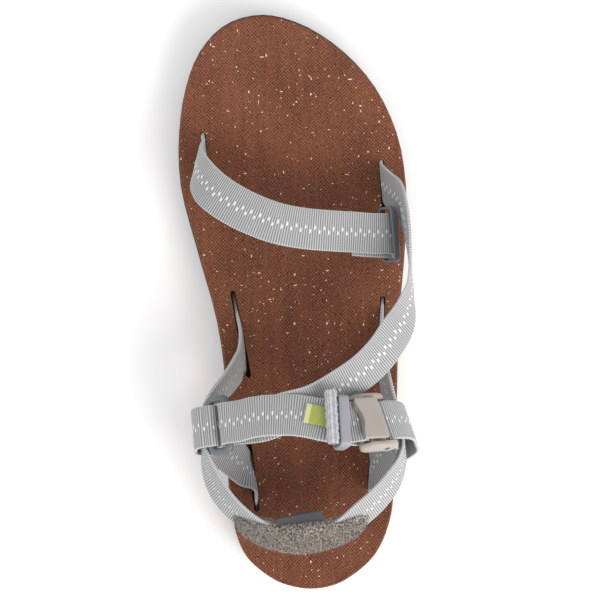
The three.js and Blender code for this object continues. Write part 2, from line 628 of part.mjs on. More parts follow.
const tailRows = STRAP_TAIL.map(({ run, out }) => ({
  p: local(adjuster, run * WEBBING_THICKNESS, out * WEBBING_THICKNESS),
  w: adjuster.b,
}));
const ringHalf = RING_SPACING / 2;
const barOffset = BUCKLE_LENGTH / 2 - BUCKLE_BAR;
const instepRows = [
  ...legRows(SLITS.toeOuter),
  ...strapRows(INSTEP_RISE),
  ...wrapRows(ankleRing, ringHalf, 0, wrapRadius(RING_BAR) + FIT_GAP, 270, 90),
  ...strapRows(INSTEP_RETURN),
  { p: local(adjuster, 0, -layerStep), w: adjuster.b },
  ...wrapRows(buckle, -barOffset, 0, wrapRadius(BUCKLE_BAR) + FIT_GAP, -90, 90),
  ...tailRows,
];
const instepPath = smooth(instepRows);
const instepStrap = sweep(instepPath, WEBBING).subtract(seatCut);
const last = instepPath[instepPath.length - 1].p;
const lastRun = last.clone().sub(instepPath[instepPath.length - 2].p).normalize();
const tailCut = [...instepPath, { p: offset(last, [lastRun, FIT_GAP]), w: adjuster.b }];
const clearInstep = sweep(tailCut, CLEAR_WEBBING);

const heelRows = [
  ...legRows(SLITS.midInner),
  ...strapRows(HEEL_STRAP),
  ...legRows(SLITS.midOuter).reverse(),
];
const heelPath = smooth(heelRows);
const heelStrap = sweep(heelPath, WEBBING).subtract(seatCut);

// A band looped round a bar of its seat and the heel strap, with the leg it stands on
function hangStrap(seat, along, bar, [from, to], table, slit, legTable) {
  const flat = table.map((row) => {
    const p = spot(row);
    return { p: offset(p, [seat.b, -p.clone().sub(seat.o).dot(seat.b)]), w: seat.b };
  });
  const loop = [...wrapRows(seat, along, 0, wrapRadius(bar) + FIT_GAP, from, to), ...flat];
  const leg = smooth([...legRows(slit, -1), ...strapRows(legTable)]);
  return sweep(smooth(loop, true), WEBBING, true).add(sweep(leg, WEBBING).subtract(seatCut));
}
const innerStrap = hangStrap(
  ankleRing, -ringHalf, RING_BAR, [-100, 110], INNER_BAND, SLITS.heelInner, INNER_LEG,
);
const outerStrap = hangStrap(
  buckle, barOffset, BUCKLE_BAR, [280, 80], OUTER_BAND, SLITS.heelOuter, OUTER_LEG,
);

// Rings and adjuster
function frameLoop(seat, axes, halves, centre, corner, section) {
  const [u, v, normal] = axes;
  const quarters = [[1, 1, 0], [-1, 1, 90], [-1, -1, 180], [1, -1, 270]];
  const path = quarters.flatMap(([signU, signV, start]) =>
    [0, 30, 60, 90].map((turn) => {
      const angle = radians(start + turn);
      const first = signU * (halves[0] - corner) + corner * Math.cos(angle);
      const second = signV * (halves[1] - corner) + corner * Math.sin(angle);
      return { p: offset(centre, [u, first], [v, second]), w: normal };
    }));
  return sweep(path, section, true);
}
const ankleRingBody = frameLoop(
  ankleRing,
  [ankleRing.a, ankleRing.b, ankleRing.c],
  [ringHalf, WEBBING_WIDTH / 2 + RING_END_GAP + RING_BAR / 2],
  ankleRing.o,
  RING_CORNER,
  oval(RING_BAR, RING_BAR, 10),
);
const keeper = (seat, layers, out, endGap, width, thickness) => {
  const inside = (layers * WEBBING_THICKNESS + (layers + 1) * FIT_GAP) / 2;
  return frameLoop(
    seat,
    [seat.b, seat.c, seat.a],
    [WEBBING_WIDTH / 2 + endGap + thickness / 2, inside + thickness / 2],
    local(seat, 0, out),
    thickness,
    oval(width, thickness, 8, 0.4),
  );
};
const toeRingBody = keeper(
  toeRing, 2.6, -layerStep, TOE_RING_END_GAP, TOE_RING_WIDTH, TOE_RING_THICKNESS,
);
const adjusterBody = keeper(
  adjuster, 3.5, 0, RING_END_GAP, ADJUSTER_BAR_WIDTH, ADJUSTER_THICKNESS,
);

// Buckle: two cheeks joined by a bar at each end, with a hole for the pivot in each cheek
const cheekFloor = -WEBBING_THICKNESS - BUCKLE_BAR / 2;
const cheekTop = cheekFloor + CHEEK_HEIGHT;
const cheekEnd = BUCKLE_LENGTH / 2;
const cheekProfile = [
  [-cheekEnd, cheekFloor],
  [cheekEnd, cheekFloor],
  [cheekEnd, cheekTop - CHEEK_CORNER],
  [cheekEnd - CHEEK_CORNER, cheekTop],
  [CHEEK_CORNER - cheekEnd, cheekTop],
  [-cheekEnd, cheekTop - CHEEK_CORNER],
];
const cheekAcross = (BUCKLE_WIDTH - CHEEK_THICKNESS) / 2;
const pivot = [BUCKLE_BAR / 2, BUCKLE_BAR / 2];
const cheeks = [-1, 1].map((side) =>
  crossBody(buckle, cheekProfile, CHEEK_THICKNESS, side * cheekAcross));
const bars = [-barOffset, barOffset].map((along) =>
  crossBody(buckle, circleAt(along, 0, BUCKLE_BAR / 2), 2 * cheekAcross, 0));
const holes = [-1, 1].map((side) =>
  crossBody(buckle, circleAt(...pivot, PIVOT_HOLE / 2), CHEEK_THICKNESS, (side * BUCKLE_WIDTH) / 2));
const buckleBase = wasm.Manifold.union([...cheeks, ...bars]).subtract(
  wasm.Manifold.union([...holes, clearInstep]),
);

const leverBase = BUCKLE_BAR / 2 + WEBBING_THICKNESS + 4 * FIT_GAP;
const leverWidth = BUCKLE_WIDTH - 2 * CHEEK_THICKNESS - 4 * FIT_GAP;
const leverFront = pivot[0] + BUCKLE_BAR / 2;
const leverBack = leverFront - LEVER_LENGTH;
const leverPlate = (() => {
  const half = leverWidth / 2;
  const shape = new THREE.Shape();
  shape.moveTo(leverFront, -half);
  shape.lineTo(leverFront, half);
  shape.lineTo(leverBack, half);
  shape.quadraticCurveTo(leverBack + 2 * LEVER_SCOOP, 0, leverBack, -half);
  const geometry = new THREE.ExtrudeGeometry(shape, {
    depth: LEVER_THICKNESS,
    bevelEnabled: false,
    curveSegments: 8,
  });
  return placed(buckle, geometry.translate(0, 0, leverBase));
})();
const knuckle = crossBody(
  buckle, circleAt(...pivot, leverBase + FIT_GAP - pivot[1]), leverWidth, 0,
);
const buckleLever = leverPlate.add(knuckle);

// Strap end, label, pad and tab
const hemCentre = STRAP_TAIL[STRAP_TAIL.length - 2];
const hemProfile = oval(HEM_LENGTH, HEM_THICKNESS, 12, 0.6).map(([x, y]) => [
  x + hemCentre.run * WEBBING_THICKNESS,
  y + hemCentre.out * WEBBING_THICKNESS,
]);
const strapEndHem = crossBody(adjuster, hemProfile, HEM_WIDTH, HEM_SHIFT).subtract(clearInstep);

const instepFrames = framed(smooth(instepRows, false, 2 * SPAN_STEPS));
const labelFrames = instepFrames.filter(({ p, t }, i) =>
  i > instepFrames.length / 2 && t.x > 0 &&
  p.x > LABEL_START * BALL_WIDTH && p.x < LABEL_END * BALL_WIDTH);
const labelLift = (WEBBING_THICKNESS + LABEL_THICKNESS) / 2 + FIT_GAP;
const sideTab = sweep(
  labelFrames.map(({ p, w, n }) => ({ p: offset(p, [n, labelLift]), w })),
  rectangle(LABEL_WIDTH, LABEL_THICKNESS),
);

const clearHeel = sweep(heelPath, CLEAR_WEBBING);
const padFrames = framed(smooth(heelRows, false, 2 * SPAN_STEPS))
  .filter(({ p }) => alongOf(p.y) < PAD_REACH);
const padTaper = (share) => PAD_TIP + (1 - PAD_TIP) * Math.sin(Math.PI * share) ** 0.7;
const padPath = padFrames.map(({ p, w }, i) => {
  const sunk = ((1 - padTaper(i / (padFrames.length - 1))) * PAD_HEIGHT) / 2;
  return { p: offset(p, [w, -sunk]), w };
});
const padSection = (grow) => oval(PAD_HEIGHT + grow, PAD_THICKNESS + grow, 14, 0.7);
const heelPad = sweep(padPath, padSection(0), false, padTaper).subtract(clearHeel);
const tabPath = padFrames
  .filter(({ p }) => Math.abs(p.x - TAB_MIDDLE * BALL_WIDTH) < TAB_LENGTH / 2)
  .map(({ p, w, n }) => ({ p: offset(p, [w, TAB_RAISE], [n, -PAD_THICKNESS / 2]), w }));
const heelTab = sweep(tabPath, rectangle(TAB_HEIGHT, TAB_THICKNESS)).subtract(
  sweep(padPath, padSection(2 * FIT_GAP), false, padTaper),
);

const PIECES = {
  outsole: { solid: outsole, colour: 0x2b2a2a, roughness: 0.8 },
  footbed: { solid: footbed, colour: 0x704230, roughness: 0.85 },
  toe_strap: { solid: toeStrap, colour: 0xb4b6bc, roughness: 0.9 },
  toe_strap_tail: { solid: toeTail, colour: 0xb4b6bc, roughness: 0.9 },
  toe_ring: { solid: toeRingBody, colour: 0x5f666e, roughness: 0.45 },
  instep_strap: { solid: instepStrap, colour: 0xb4b6bc, roughness: 0.9 },
  strap_end_hem: { solid: strapEndHem, colour: 0xa6a8ae, roughness: 0.9 },
  side_tab: { solid: sideTab, colour: 0xa5b455, roughness: 0.85 },
  ankle_ring: { solid: ankleRingBody, colour: 0x5f666e, roughness: 0.45 },
  heel_strap: { solid: heelStrap, colour: 0xb4b6bc, roughness: 0.9 },
  medial_rear_strap: { solid: innerStrap, colour: 0xb4b6bc, roughness: 0.9 },
  lateral_rear_strap: { solid: outerStrap, colour: 0xb4b6bc, roughness: 0.9 },
  strap_adjuster: { solid: adjusterBody, colour: 0x9698a0, roughness: 0.5 },
  buckle_base: { solid: buckleBase, colour: 0xa89e98, roughness: 0.5 },
  buckle_lever: { solid: buckleLever, colour: 0xa89e98, roughness: 0.5 },
  heel_pad: { solid: heelPad, colour: 0x827a73, roughness: 1 },
  heel_tab: { solid: heelTab, colour: 0x484858, roughness: 0.8 },
};

function meshOf(name, { solid, colour, roughness }) {
  const { vertProperties, triVerts, numProp } = solid.getMesh();
  const geometry = new THREE.BufferGeometry();
  geometry.setAttribute("position", new THREE.BufferAttribute(vertProperties, numProp));
  geometry.setIndex([...triVerts]);
  geometry.computeVertexNormals();
  const mesh = new THREE.Mesh(geometry, new THREE.MeshStandardMaterial({ color: colour, roughness }));
  mesh.name = name;
  return mesh;
}

const group = new THREE.Group();
group.name = "outdoor_sandal";
group.add(...Object.entries(PIECES).map(([name, piece]) => meshOf(name, piece)));

export default group;
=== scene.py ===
"""A right outdoor sandal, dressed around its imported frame: sole, webbing, rings, buckle and pad.

Tables and sizes are in millimetres and in shares of named sizes; meshes are made in metres.
"""
import math

import bmesh
import bpy
import numpy as np
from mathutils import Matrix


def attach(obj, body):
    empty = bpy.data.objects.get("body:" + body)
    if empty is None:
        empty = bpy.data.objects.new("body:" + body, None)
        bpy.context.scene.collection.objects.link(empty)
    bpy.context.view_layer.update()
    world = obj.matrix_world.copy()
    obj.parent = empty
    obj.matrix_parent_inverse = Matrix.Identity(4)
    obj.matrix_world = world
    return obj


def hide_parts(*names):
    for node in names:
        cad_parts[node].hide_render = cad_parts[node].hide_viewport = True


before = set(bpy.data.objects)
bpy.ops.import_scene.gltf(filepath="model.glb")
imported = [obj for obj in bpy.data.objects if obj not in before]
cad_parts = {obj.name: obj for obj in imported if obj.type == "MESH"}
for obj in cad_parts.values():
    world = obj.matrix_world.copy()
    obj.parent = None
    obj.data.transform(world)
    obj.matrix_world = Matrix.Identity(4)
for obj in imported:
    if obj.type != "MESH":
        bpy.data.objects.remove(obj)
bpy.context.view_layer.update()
MM = 0.001

# Camera: straight down, as the photograph was taken
camera_data = bpy.data.cameras.new("camera")
camera_data.sensor_width = 36
camera_data.lens = 110.1
camera = bpy.data.objects.new("camera", camera_data)
camera.location = (-0.0048, 0.1085, 0.9)
bpy.context.scene.collection.objects.link(camera)
bpy.context.scene.camera = camera
bpy.context.scene.view_settings.view_transform = "Standard"

# Sole sizes
SOLE_LENGTH = 274
BALL_WIDTH = 109
HEEL_REST = 29.5
HEEL_STACK = 22
FOREFOOT_STACK = 17
TOE_STACK = 14
TOE_SPRING = 9
TOE_WRAP = 4
ARCH_LIFT = 2.5
HEEL_BEVEL = 2
OUTSOLE_THICKNESS = 6
RIM_RISE = 2
ARCH_SUPPORT = 3
INSTEP_HEIGHT = 58
SLIT_WIDTH = 2.6
SLIT_DEPTH = 6.5
FIT_GAP = 0.3
EDGE_ROUND = ((0, 1.0), (0.08, 0.6), (0.28, 0.28), (0.6, 0.08), (1.0, 0))
FOOTBED_WEAVE = 1.14

# Webbing sizes
WEBBING_WIDTH = 19
WEBBING_THICKNESS = 1.6
RIB_PITCH = 1.1
RIB_RELIEF = 0.16
RINGS_TO_A_RIB = 4
RIBS_TO_A_DASH = 2
PICOT_RISE = 0.008
PICOT_REACH = (8.9, 9.3)
YARN_TURN = 13.0
FACE_SHARE = 0.98
ACROSS = [-1, -0.985, -0.94, -0.86, -0.6, -0.25, 0.25, 0.6, 0.86, 0.94, 0.985, 1]
HALF_THICKNESS = [0.4, 0.72, 0.95, 1, 1, 1, 1, 1, 1, 0.95, 0.72, 0.4]
DASH_LENGTH = 2.2
DASH_WIDTH = 0.95
DASH_HEIGHT = 0.44
DASH_ROW_GAP = 1.8
DASH_SINK = 0.03

# Hardware sizes
RING_BAR = 3.6
RING_SPACING = 9.2
RING_END_GAP = 0.9
RING_CORNER = 2.7
TOE_RING_END_GAP = 2.2
TOE_RING_WIDTH = 3.8
TOE_RING_THICKNESS = 1.6
TOE_RING_LAYERS = 3
BUCKLE_LENGTH = 21.8
BUCKLE_WIDTH = 26
BUCKLE_BAR = 2.4
CHEEK_THICKNESS = 2.3
CHEEK_HEIGHT = 7
CHEEK_CORNER = 3.5
CHEEK_CROWN = 0.8
CHEEK_LEVELS = ((0, 0.95), (0.08, 1), (0.6, 1), (0.85, 0.95), (1.02, 0.86), (1.14, 0.7), (1.2, 0.45))
LEVER_LENGTH = 11.8
LEVER_THICKNESS = 3
LEVER_CORNER = 0.6
LEVER_LEVELS = (
    (0, 0.8), (0.35, 0.93), (0.6, 0.99), (0.75, 1), (0.9, 0.985), (0.98, 0.95), (1, 0.88), (0.96, 0.6),
)
LEVER_EDGE = (
    (1, -0.9), (0.84, -1.7), (0.66, -1.3), (0.4, 0), (0, 0.5), (-0.45, 0), (-0.8, -1.1), (-1, -2.2),
)
PIN_RADIUS = 1.3
PIN_ALONG = 3.6
PIN_PROUD = 0.55
ADJUSTER_BAR_WIDTH = 4.8
ADJUSTER_THICKNESS = 1.6
ADJUSTER_LAYERS = 4
HEM_LENGTH = 5.4
HEM_WIDTH = 24.4
HEM_SHIFT = 1.6
HEM_THICKNESS = 3.8
HEM_OPENING = 1.8
HEM_WALL = 0.66
HEM_CORE = 0.42
LABEL_WIDTH = 9
LABEL_THICKNESS = 0.9
LABEL_START = -0.026
LABEL_END = 0.072
LABEL_FOLD = 2.2
LABEL_SHIFT = 1.3
LABEL_SIDES = 24

# Pad and tab sizes
PAD_HEIGHT = 25
PAD_THICKNESS = 7.4
PAD_REACH = 0.138
PAD_TIP = 0.4
FIBRE_DENSITY = 5.2e6
FIBRE_LENGTH = 1.6
FIBRE_THICKNESS = 0.2
TAB_LENGTH = 21
TAB_HEIGHT = 7
TAB_THICKNESS = 1


def rows_of(columns, *rows):
    """A table: named columns and its rows."""
    return [dict(zip(columns.split(), row)) for row in rows]


OUTLINE = rows_of(
    "along inner outer",
    (0.004, -0.075, 0.083),
    (0.016, -0.157, 0.157),
    (0.058, -0.281, 0.281),
    (0.12, -0.338, 0.35),
    (0.21, -0.36, 0.372),
    (0.33, -0.363, 0.381),
    (0.46, -0.403, 0.387),
    (0.58, -0.486, 0.414),
    (0.71, -0.57, 0.421),
    (0.8, -0.576, 0.38),
    (0.88, -0.544, 0.282),
    (0.94, -0.48, 0.14),
    (0.984, -0.367, -0.04),
)
HEEL_END = 0.004
TOE_TIP = -0.212

SLITS = {row["name"]: row for row in rows_of(
    "name along across length lean slope fore shift",
    ("toe_inner", 0.755, -0.465, 0.088, -4, 66, -1, 0.04),
    ("toe_outer", 0.706, 0.322, 0.088, -3, 66, -1, 0.05),
    ("ring_outer", 0.613, 0.335, 0.08, -3, 84, -1, 0),
    ("mid_inner", 0.444, -0.305, 0.155, -11, 36, -1, -0.118),
    ("mid_outer", 0.442, 0.31, 0.138, 4, 36, -1, -0.05),
    ("heel_inner", 0.193, -0.25, 0.118, -7, 46, 1, 0.035),
    ("heel_outer", 0.205, 0.268, 0.11, 3, 72, 1, 0),
)}

STRAP_COLUMNS = "along across up ahead side rise"
TOE_STRAP = rows_of(
    STRAP_COLUMNS,
    (0.748, -0.484, 0.155, 0.9, 0.2, 0.4),
    (0.735, -0.491, 0.293, 0.91, 0.26, 0.34),
    (0.715, -0.47, 0.414, 0.9, 0.34, 0.26),
    (0.692, -0.424, 0.509, 0.89, 0.45, 0.15),
    (0.669, -0.346, 0.569, 0.88, 0.46, 0.08),
    (0.65, -0.256, 0.603, 0.9, 0.42, 0.03),
    (0.634, -0.15, 0.612, 0.95, 0.3, 0),
    (0.625, -0.036, 0.59, 0.98, 0.17, 0),
    (0.621, 0.084, 0.545, 1, 0.07, 0),
    (0.619, 0.191, 0.48, 1, 0, 0),
    (0.617, 0.27, 0.44, 1, -0.05, 0),
    (0.617, 0.33, 0.39, 1, -0.09, 0),
    (0.616, 0.36, 0.315, 1, -0.09, 0.02),
    (0.614, 0.368, 0.22, 1, -0.08, 0.03),
    (0.613, 0.368, 0.14, 1, -0.07, 0.04),
    (0.613, 0.36, 0.07, 1, -0.06, 0.06),
)
TOE_TAIL_FROM, TOE_TAIL_TO, TOE_TAIL_SHIFT = 0.57, 0.73, 1.5
INSTEP_RISE = rows_of(
    STRAP_COLUMNS,
    (0.693, 0.351, 0.155, 0.86, 0.02, 0.5),
    (0.679, 0.383, 0.293, 0.7, 0.1, 0.7),
    (0.656, 0.4, 0.414, 0.44, 0.1, 0.88),
    (0.623, 0.415, 0.49, 0.2, 0.05, 0.97),
    (0.588, 0.423, 0.535, 0.08, -0.02, 1),
    (0.554, 0.426, 0.569, 0.06, -0.08, 1),
    (0.521, 0.423, 0.612, 0.08, -0.2, 0.97),
    (0.494, 0.41, 0.655, 0.16, -0.45, 0.87),
    (0.468, 0.386, 0.69, 0.32, -0.62, 0.7),
    (0.445, 0.349, 0.733, 0.5, -0.65, 0.57),
    (0.416, 0.297, 0.765, 0.56, -0.61, 0.55),
    (0.388, 0.226, 0.79, 0.58, -0.58, 0.55),
    (0.362, 0.132, 0.805, 0.68, -0.42, 0.52),
    (0.338, 0.018, 0.815, 0.72, -0.3, 0.6),
    (0.321, -0.094, 0.795, 0.86, -0.2, 0.4),
    (0.303, -0.202, 0.73, 0.97, -0.1, -0.04),
)
INSTEP_RETURN = rows_of(
    STRAP_COLUMNS,
    (0.303, -0.3, 0.775, 0.97, -0.08, -0.22),
    (0.309, -0.251, 0.836, 0.96, -0.05, -0.26),
    (0.313, -0.197, 0.879, 0.95, -0.02, -0.3),
    (0.315, -0.114, 0.922, 0.95, 0, -0.3),
    (0.315, -0.061, 0.948, 0.95, 0, -0.3),
    (0.311, 0.008, 0.97, 0.95, -0.02, -0.3),
    (0.306, 0.063, 0.976, 0.95, -0.04, -0.3),
)
HEEL_STRAP = rows_of(
    STRAP_COLUMNS,
    (0.398, -0.299, 0.103, 0.58, -0.14, 0.8),
    (0.382, -0.319, 0.18, 0.56, -0.16, 0.82),
    (0.362, -0.354, 0.258, 0.54, -0.14, 0.83),
    (0.342, -0.4, 0.32, 0.5, -0.06, 0.85),
    (0.325, -0.44, 0.35, 0.3, 0, 0.95),
    (0.305, -0.463, 0.37, 0.12, 0, 0.99),
    (0.283, -0.467, 0.38, 0.04, 0.02, 1),
    (0.258, -0.461, 0.386, 0, 0.08, 0.99),
    (0.24, -0.45, 0.4, 0.02, 0.2, 0.97),
    (0.215, -0.432, 0.42, 0.1, 0.36, 0.92),
    (0.182, -0.393, 0.45, 0.22, 0.45, 0.86),
    (0.149, -0.325, 0.48, 0.36, 0.38, 0.85),
    (0.115, -0.2, 0.505, 0.48, 0.16, 0.86),
    (0.103, -0.044, 0.51, 0.52, 0, 0.85),
    (0.115, 0.11, 0.505, 0.46, -0.2, 0.86),
    (0.145, 0.226, 0.48, 0.42, -0.46, 0.78),
    (0.174, 0.305, 0.455, 0.3, -0.5, 0.81),
    (0.202, 0.358, 0.425, 0.18, -0.44, 0.88),
    (0.23, 0.39, 0.4, 0.06, -0.25, 0.96),
    (0.256, 0.398, 0.386, 0, -0.06, 1),
    (0.28, 0.387, 0.38, 0.04, 0.02, 1),
    (0.302, 0.372, 0.37, 0.12, 0.05, 0.99),
    (0.322, 0.355, 0.35, 0.3, 0.08, 0.95),
    (0.342, 0.338, 0.315, 0.5, 0.1, 0.85),
    (0.364, 0.324, 0.256, 0.54, 0.12, 0.83),
    (0.385, 0.315, 0.18, 0.56, 0.1, 0.82),
    (0.405, 0.309, 0.103, 0.58, 0.04, 0.8),
)
INNER_BAND = rows_of(
    "along across up",
    (0.29, -0.462, 0.614),
    (0.285, -0.488, 0.54),
    (0.28, -0.496, 0.414),
    (0.277, -0.497, 0.23),
    (0.275, -0.464, 0.11),
    (0.277, -0.428, 0.2),
    (0.28, -0.423, 0.34),
    (0.285, -0.42, 0.46),
)
INNER_LEG = rows_of(
    STRAP_COLUMNS,
    (0.21, -0.284, 0.06, 0.7, 0.3, -0.65),
    (0.23, -0.33, 0.14, 0.75, 0.42, -0.5),
    (0.248, -0.378, 0.215, 0.8, 0.4, -0.45),
    (0.264, -0.402, 0.27, 0.85, 0.12, -0.4),
)
OUTER_BAND = rows_of(
    "along across up",
    (0.29, 0.394, 0.67),
    (0.285, 0.423, 0.569),
    (0.28, 0.433, 0.431),
    (0.27, 0.436, 0.22),
    (0.27, 0.374, 0.095),
    (0.27, 0.336, 0.23),
    (0.28, 0.343, 0.36),
    (0.285, 0.341, 0.5),
    (0.29, 0.33, 0.6),
)
OUTER_LEG = rows_of(
    STRAP_COLUMNS,
    (0.209, 0.272, 0.06, 0.95, -0.05, -0.3),
    (0.222, 0.288, 0.15, 0.9, -0.2, -0.38),
    (0.243, 0.312, 0.23, 0.88, -0.28, -0.38),
    (0.262, 0.336, 0.3, 0.88, -0.27, -0.38),
)
SEATS = {row["name"]: row for row in rows_of(
    "name along across up ahead side rise run_ahead run_side run_rise",
    ("ankle_ring", 0.294, -0.384, 0.621, 0.97, -0.1, -0.2, 0, 0.87, 0.5),
    ("toe_ring", 0.616, 0.349, 0.352, 1, -0.09, 0.01, 0, 0.74, -0.67),
    ("adjuster", 0.303, 0.124, 0.957, 0.95, -0.05, -0.3, 0, 0.94, -0.34),
    ("buckle", 0.3, 0.25, 0.8, 0.88, -0.29, -0.37, 0, 0.8, -0.6),
    ("tab", 0.139, -0.044, 0.7, 0.72, -0.13, 0.68, 0.18, 0.98, 0),
)}
STRAP_TAIL = rows_of("run out", (1.4, 0.68), (0, 0.68), (-1.8, 1.5), (-3.5, 2.35), (-4.5, 2.5))


# Heights and outline of the sole
def step(x, low, high):
    share = np.clip((x - low) / (high - low), 0, 1)
    return share * share * (3 - 2 * share)


def toe_rise(along):
    return TOE_SPRING * np.maximum(0, (along - 0.76) / 0.24) ** 1.8


def underside(along):
    bevel = HEEL_BEVEL * np.maximum(0, (0.07 - along) / 0.07) ** 1.5
    arch = ARCH_LIFT * step(along, 0.3, 0.4) * (1 - step(along, 0.42, 0.52))
    return toe_rise(along) + bevel + arch


def deck(along):
    to_forefoot = (HEEL_STACK - FOREFOOT_STACK) * step(along, 0.3, 0.52)
    to_toe = (FOREFOOT_STACK - TOE_STACK) * step(along, 0.76, 1)
    return HEEL_STACK - to_forefoot - to_toe + toe_rise(along)


def footbed_top(along, across):
    edge = np.maximum(np.abs(across) ** 3, np.maximum(0, 1 - along / 0.12) ** 2)
    rim = RIM_RISE * edge * (1 - step(along, 0.5, 0.7))
    crest = step(along, 0.25, 0.4) * (1 - step(along, 0.42, 0.6))
    return deck(along) + rim + ARCH_SUPPORT * crest * np.maximum(0, -across) ** 2


def footbed_floor(along, across):
    thickness = OUTSOLE_THICKNESS + TOE_WRAP * step(along, 0.86, 1)
    return underside(along) + thickness + FIT_GAP


def spot(row):
    x = row["across"] * BALL_WIDTH
    y = row["along"] * SOLE_LENGTH - HEEL_REST
    return np.array([x, y, deck(row["along"]) + row.get("up", 0) * INSTEP_HEIGHT])


# Curves through the rows of a table
def spline(points, closed, steps):
    points = [np.asarray(point, float) for point in points]
    count = len(points)
    spans = count if closed else count - 1
    out = []
    for i in range(spans):
        b, c = points[i % count], points[(i + 1) % count]
        a = points[i - 1] if closed or i else 2 * b - c
        d = points[(i + 2) % count] if closed or i + 2 < count else 2 * c - b
        gaps = [np.linalg.norm(q - p) ** 0.5 for p, q in ((a, b), (b, c), (c, d))]
        middle = gaps[1] if gaps[1] > 1e-4 else 1.0
        first = gaps[0] if gaps[0] > 1e-4 else middle
        final = gaps[2] if gaps[2] > 1e-4 else middle
        leave = ((b - a) / first - (c - a) / (first + middle) + (c - b) / middle) * middle
        arrive = ((c - b) / middle - (d - b) / (middle + final) + (d - c) / final) * middle
        for k in range(steps):
            t = k / steps
            cubic = (2 * b - 2 * c + leave + arrive) * t**3
            square = (3 * c - 3 * b - 2 * leave - arrive) * t**2
            out.append(b + leave * t + square + cubic)
    if not closed:
        out.append(points[-1])
    return np.array(out)


def framed(points, widths, closed):
    """Run, width and outward directions at each point of a path."""
    points = np.asarray(points)
    if closed:
        runs = np.roll(points, -1, 0) - np.roll(points, 1, 0)
    else:
        runs = np.gradient(points, axis=0)
    runs /= np.linalg.norm(runs, axis=1)[:, None]
    widths = widths - runs * (widths * runs).sum(1)[:, None]
    widths /= np.linalg.norm(widths, axis=1)[:, None]
    return points, runs, widths, np.cross(runs, widths)


def path_of(rows, closed=False, steps=12):
    return framed(
        spline([p for p, _ in rows], closed, steps),
        spline([w for _, w in rows], closed, steps),
        closed,
    )


def strap_rows(table):
    return [(spot(row), unit(np.array([row["side"], row["ahead"], row["rise"]]))) for row in table]


def unit(vector):
    return vector / np.linalg.norm(vector)


def leg_rows(slit, turned=1):
    heading, angle = math.radians(slit["lean"]), math.radians(slit["slope"])
    to_toe = np.array([math.sin(heading), math.cos(heading), 0])
    up = np.array([0, 0, 1])
    run = up * math.sin(angle) + to_toe * slit["fore"] * math.cos(angle)
    width = (up * math.cos(angle) - to_toe * slit["fore"] * math.sin(angle)) * turned
    mouth = spot(slit) + to_toe * slit["shift"] * slit["length"] * SOLE_LENGTH
    foot = -(SLIT_DEPTH + WEBBING_WIDTH / 2) / math.sin(angle)
    return [(mouth + run * along, width) for along in (foot, foot / 2, 1)]


def seat_of(row):
    b = unit(np.array([row["side"], row["ahead"], row["rise"]]))
    run = np.array([row["run_side"], row["run_ahead"], row["run_rise"]])
    a = unit(run - b * (run @ b))
    return {"o": spot(row), "a": a, "b": b, "c": np.cross(a, b)}


def local(seat, along, out, across=0):
    return seat["o"] + seat["a"] * along + seat["c"] * out + seat["b"] * across


def wrap_rows(seat, along, out, radius, start, end, count=5):
    angles = np.radians(np.linspace(start, end, count))
    return [
        (local(seat, along + radius * math.cos(a), out + radius * math.sin(a)), seat["b"])
        for a in angles
    ]


# Meshes
def link(name, mesh):
    made = bpy.data.objects.new(name, mesh)
    bpy.context.scene.collection.objects.link(made)
    return made


def mesh_of(name, points, faces, corner_uvs=None, smooth=40):
    """A mesh from points in millimetres, faces turned outward, with its own UV map."""
    mesh = bpy.data.meshes.new(name)
    mesh.from_pydata((np.asarray(points) * MM).tolist(), [], faces)
    if corner_uvs is not None:
        layer = mesh.uv_layers.new(name="weave")
        layer.data.foreach_set("uv", np.asarray(corner_uvs, np.float32).ravel())
    outward = bmesh.new()
    outward.from_mesh(mesh)
    bmesh.ops.recalc_face_normals(outward, faces=outward.faces)
    outward.to_mesh(mesh)
    outward.free()
    soften(mesh, smooth)
    return mesh


def soften(mesh, angle):
    mesh.polygons.foreach_set("use_smooth", [True] * len(mesh.polygons))
    mesh.set_sharp_from_angle(angle=math.radians(angle))


def tube_faces(rings, sides, closed=False):
    """Faces round matching rings of points, with caps at the ends of an open tube."""
    corners = ((0, 0), (0, 1), (1, 1), (1, 0))
    faces = [
        tuple((i + ahead) % rings * sides + (j + aside) % sides for ahead, aside in corners)
        for i in range(rings - (not closed))
        for j in range(sides)
    ]
    if not closed:
        faces += [tuple(range(sides))[::-1], tuple(range((rings - 1) * sides, rings * sides))]
    return faces


def swept(path, section, closed=False, scale=1.0):
    """Points and faces of a section, rows of across and outward, carried along a path."""
    points, _, widths, outs = path
    sizes = np.broadcast_to(scale, len(points))[:, None, None]
    section = np.asarray(section, float)
    across, outward = section[:, :1] * sizes, section[:, 1:] * sizes
    rings = points[:, None] + widths[:, None] * across + outs[:, None] * outward
    return rings.reshape(-1, 3), tube_faces(len(points), len(section), closed)


def lofted(outlines):
    """Points and faces through matching closed outlines, capped at both ends."""
    points = [point for outline in outlines for point in outline]
    return points, tube_faces(len(outlines), len(outlines[0]))


def joined(parts):
    points, faces = [], []
    for part_points, part_faces in parts:
        start = len(points)
        points += [tuple(point) for point in part_points]
        faces += [tuple(index + start for index in face) for face in part_faces]
    return points, faces


def rounded(width, thickness, sides, power=1.0):
    """A section between an ellipse, power 1, and a box, power near 0."""
    def reach(wave, size):
        return math.copysign(abs(wave) ** power, wave) * size / 2

    angles = (np.arange(sides) + 0.5) * 2 * np.pi / sides
    return [(reach(math.cos(a), width), reach(math.sin(a), thickness)) for a in angles]


def settled(made):
    """Applies every modifier by taking the evaluated mesh, and removes them."""
    graph = bpy.context.evaluated_depsgraph_get()
    mesh = bpy.data.meshes.new_from_object(made.evaluated_get(graph))
    made.modifiers.clear()
    made.data = mesh
    return made


def claim(made, slot, *nodes):
    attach(made, "root")
    if nodes:
        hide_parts(*nodes)
    return made


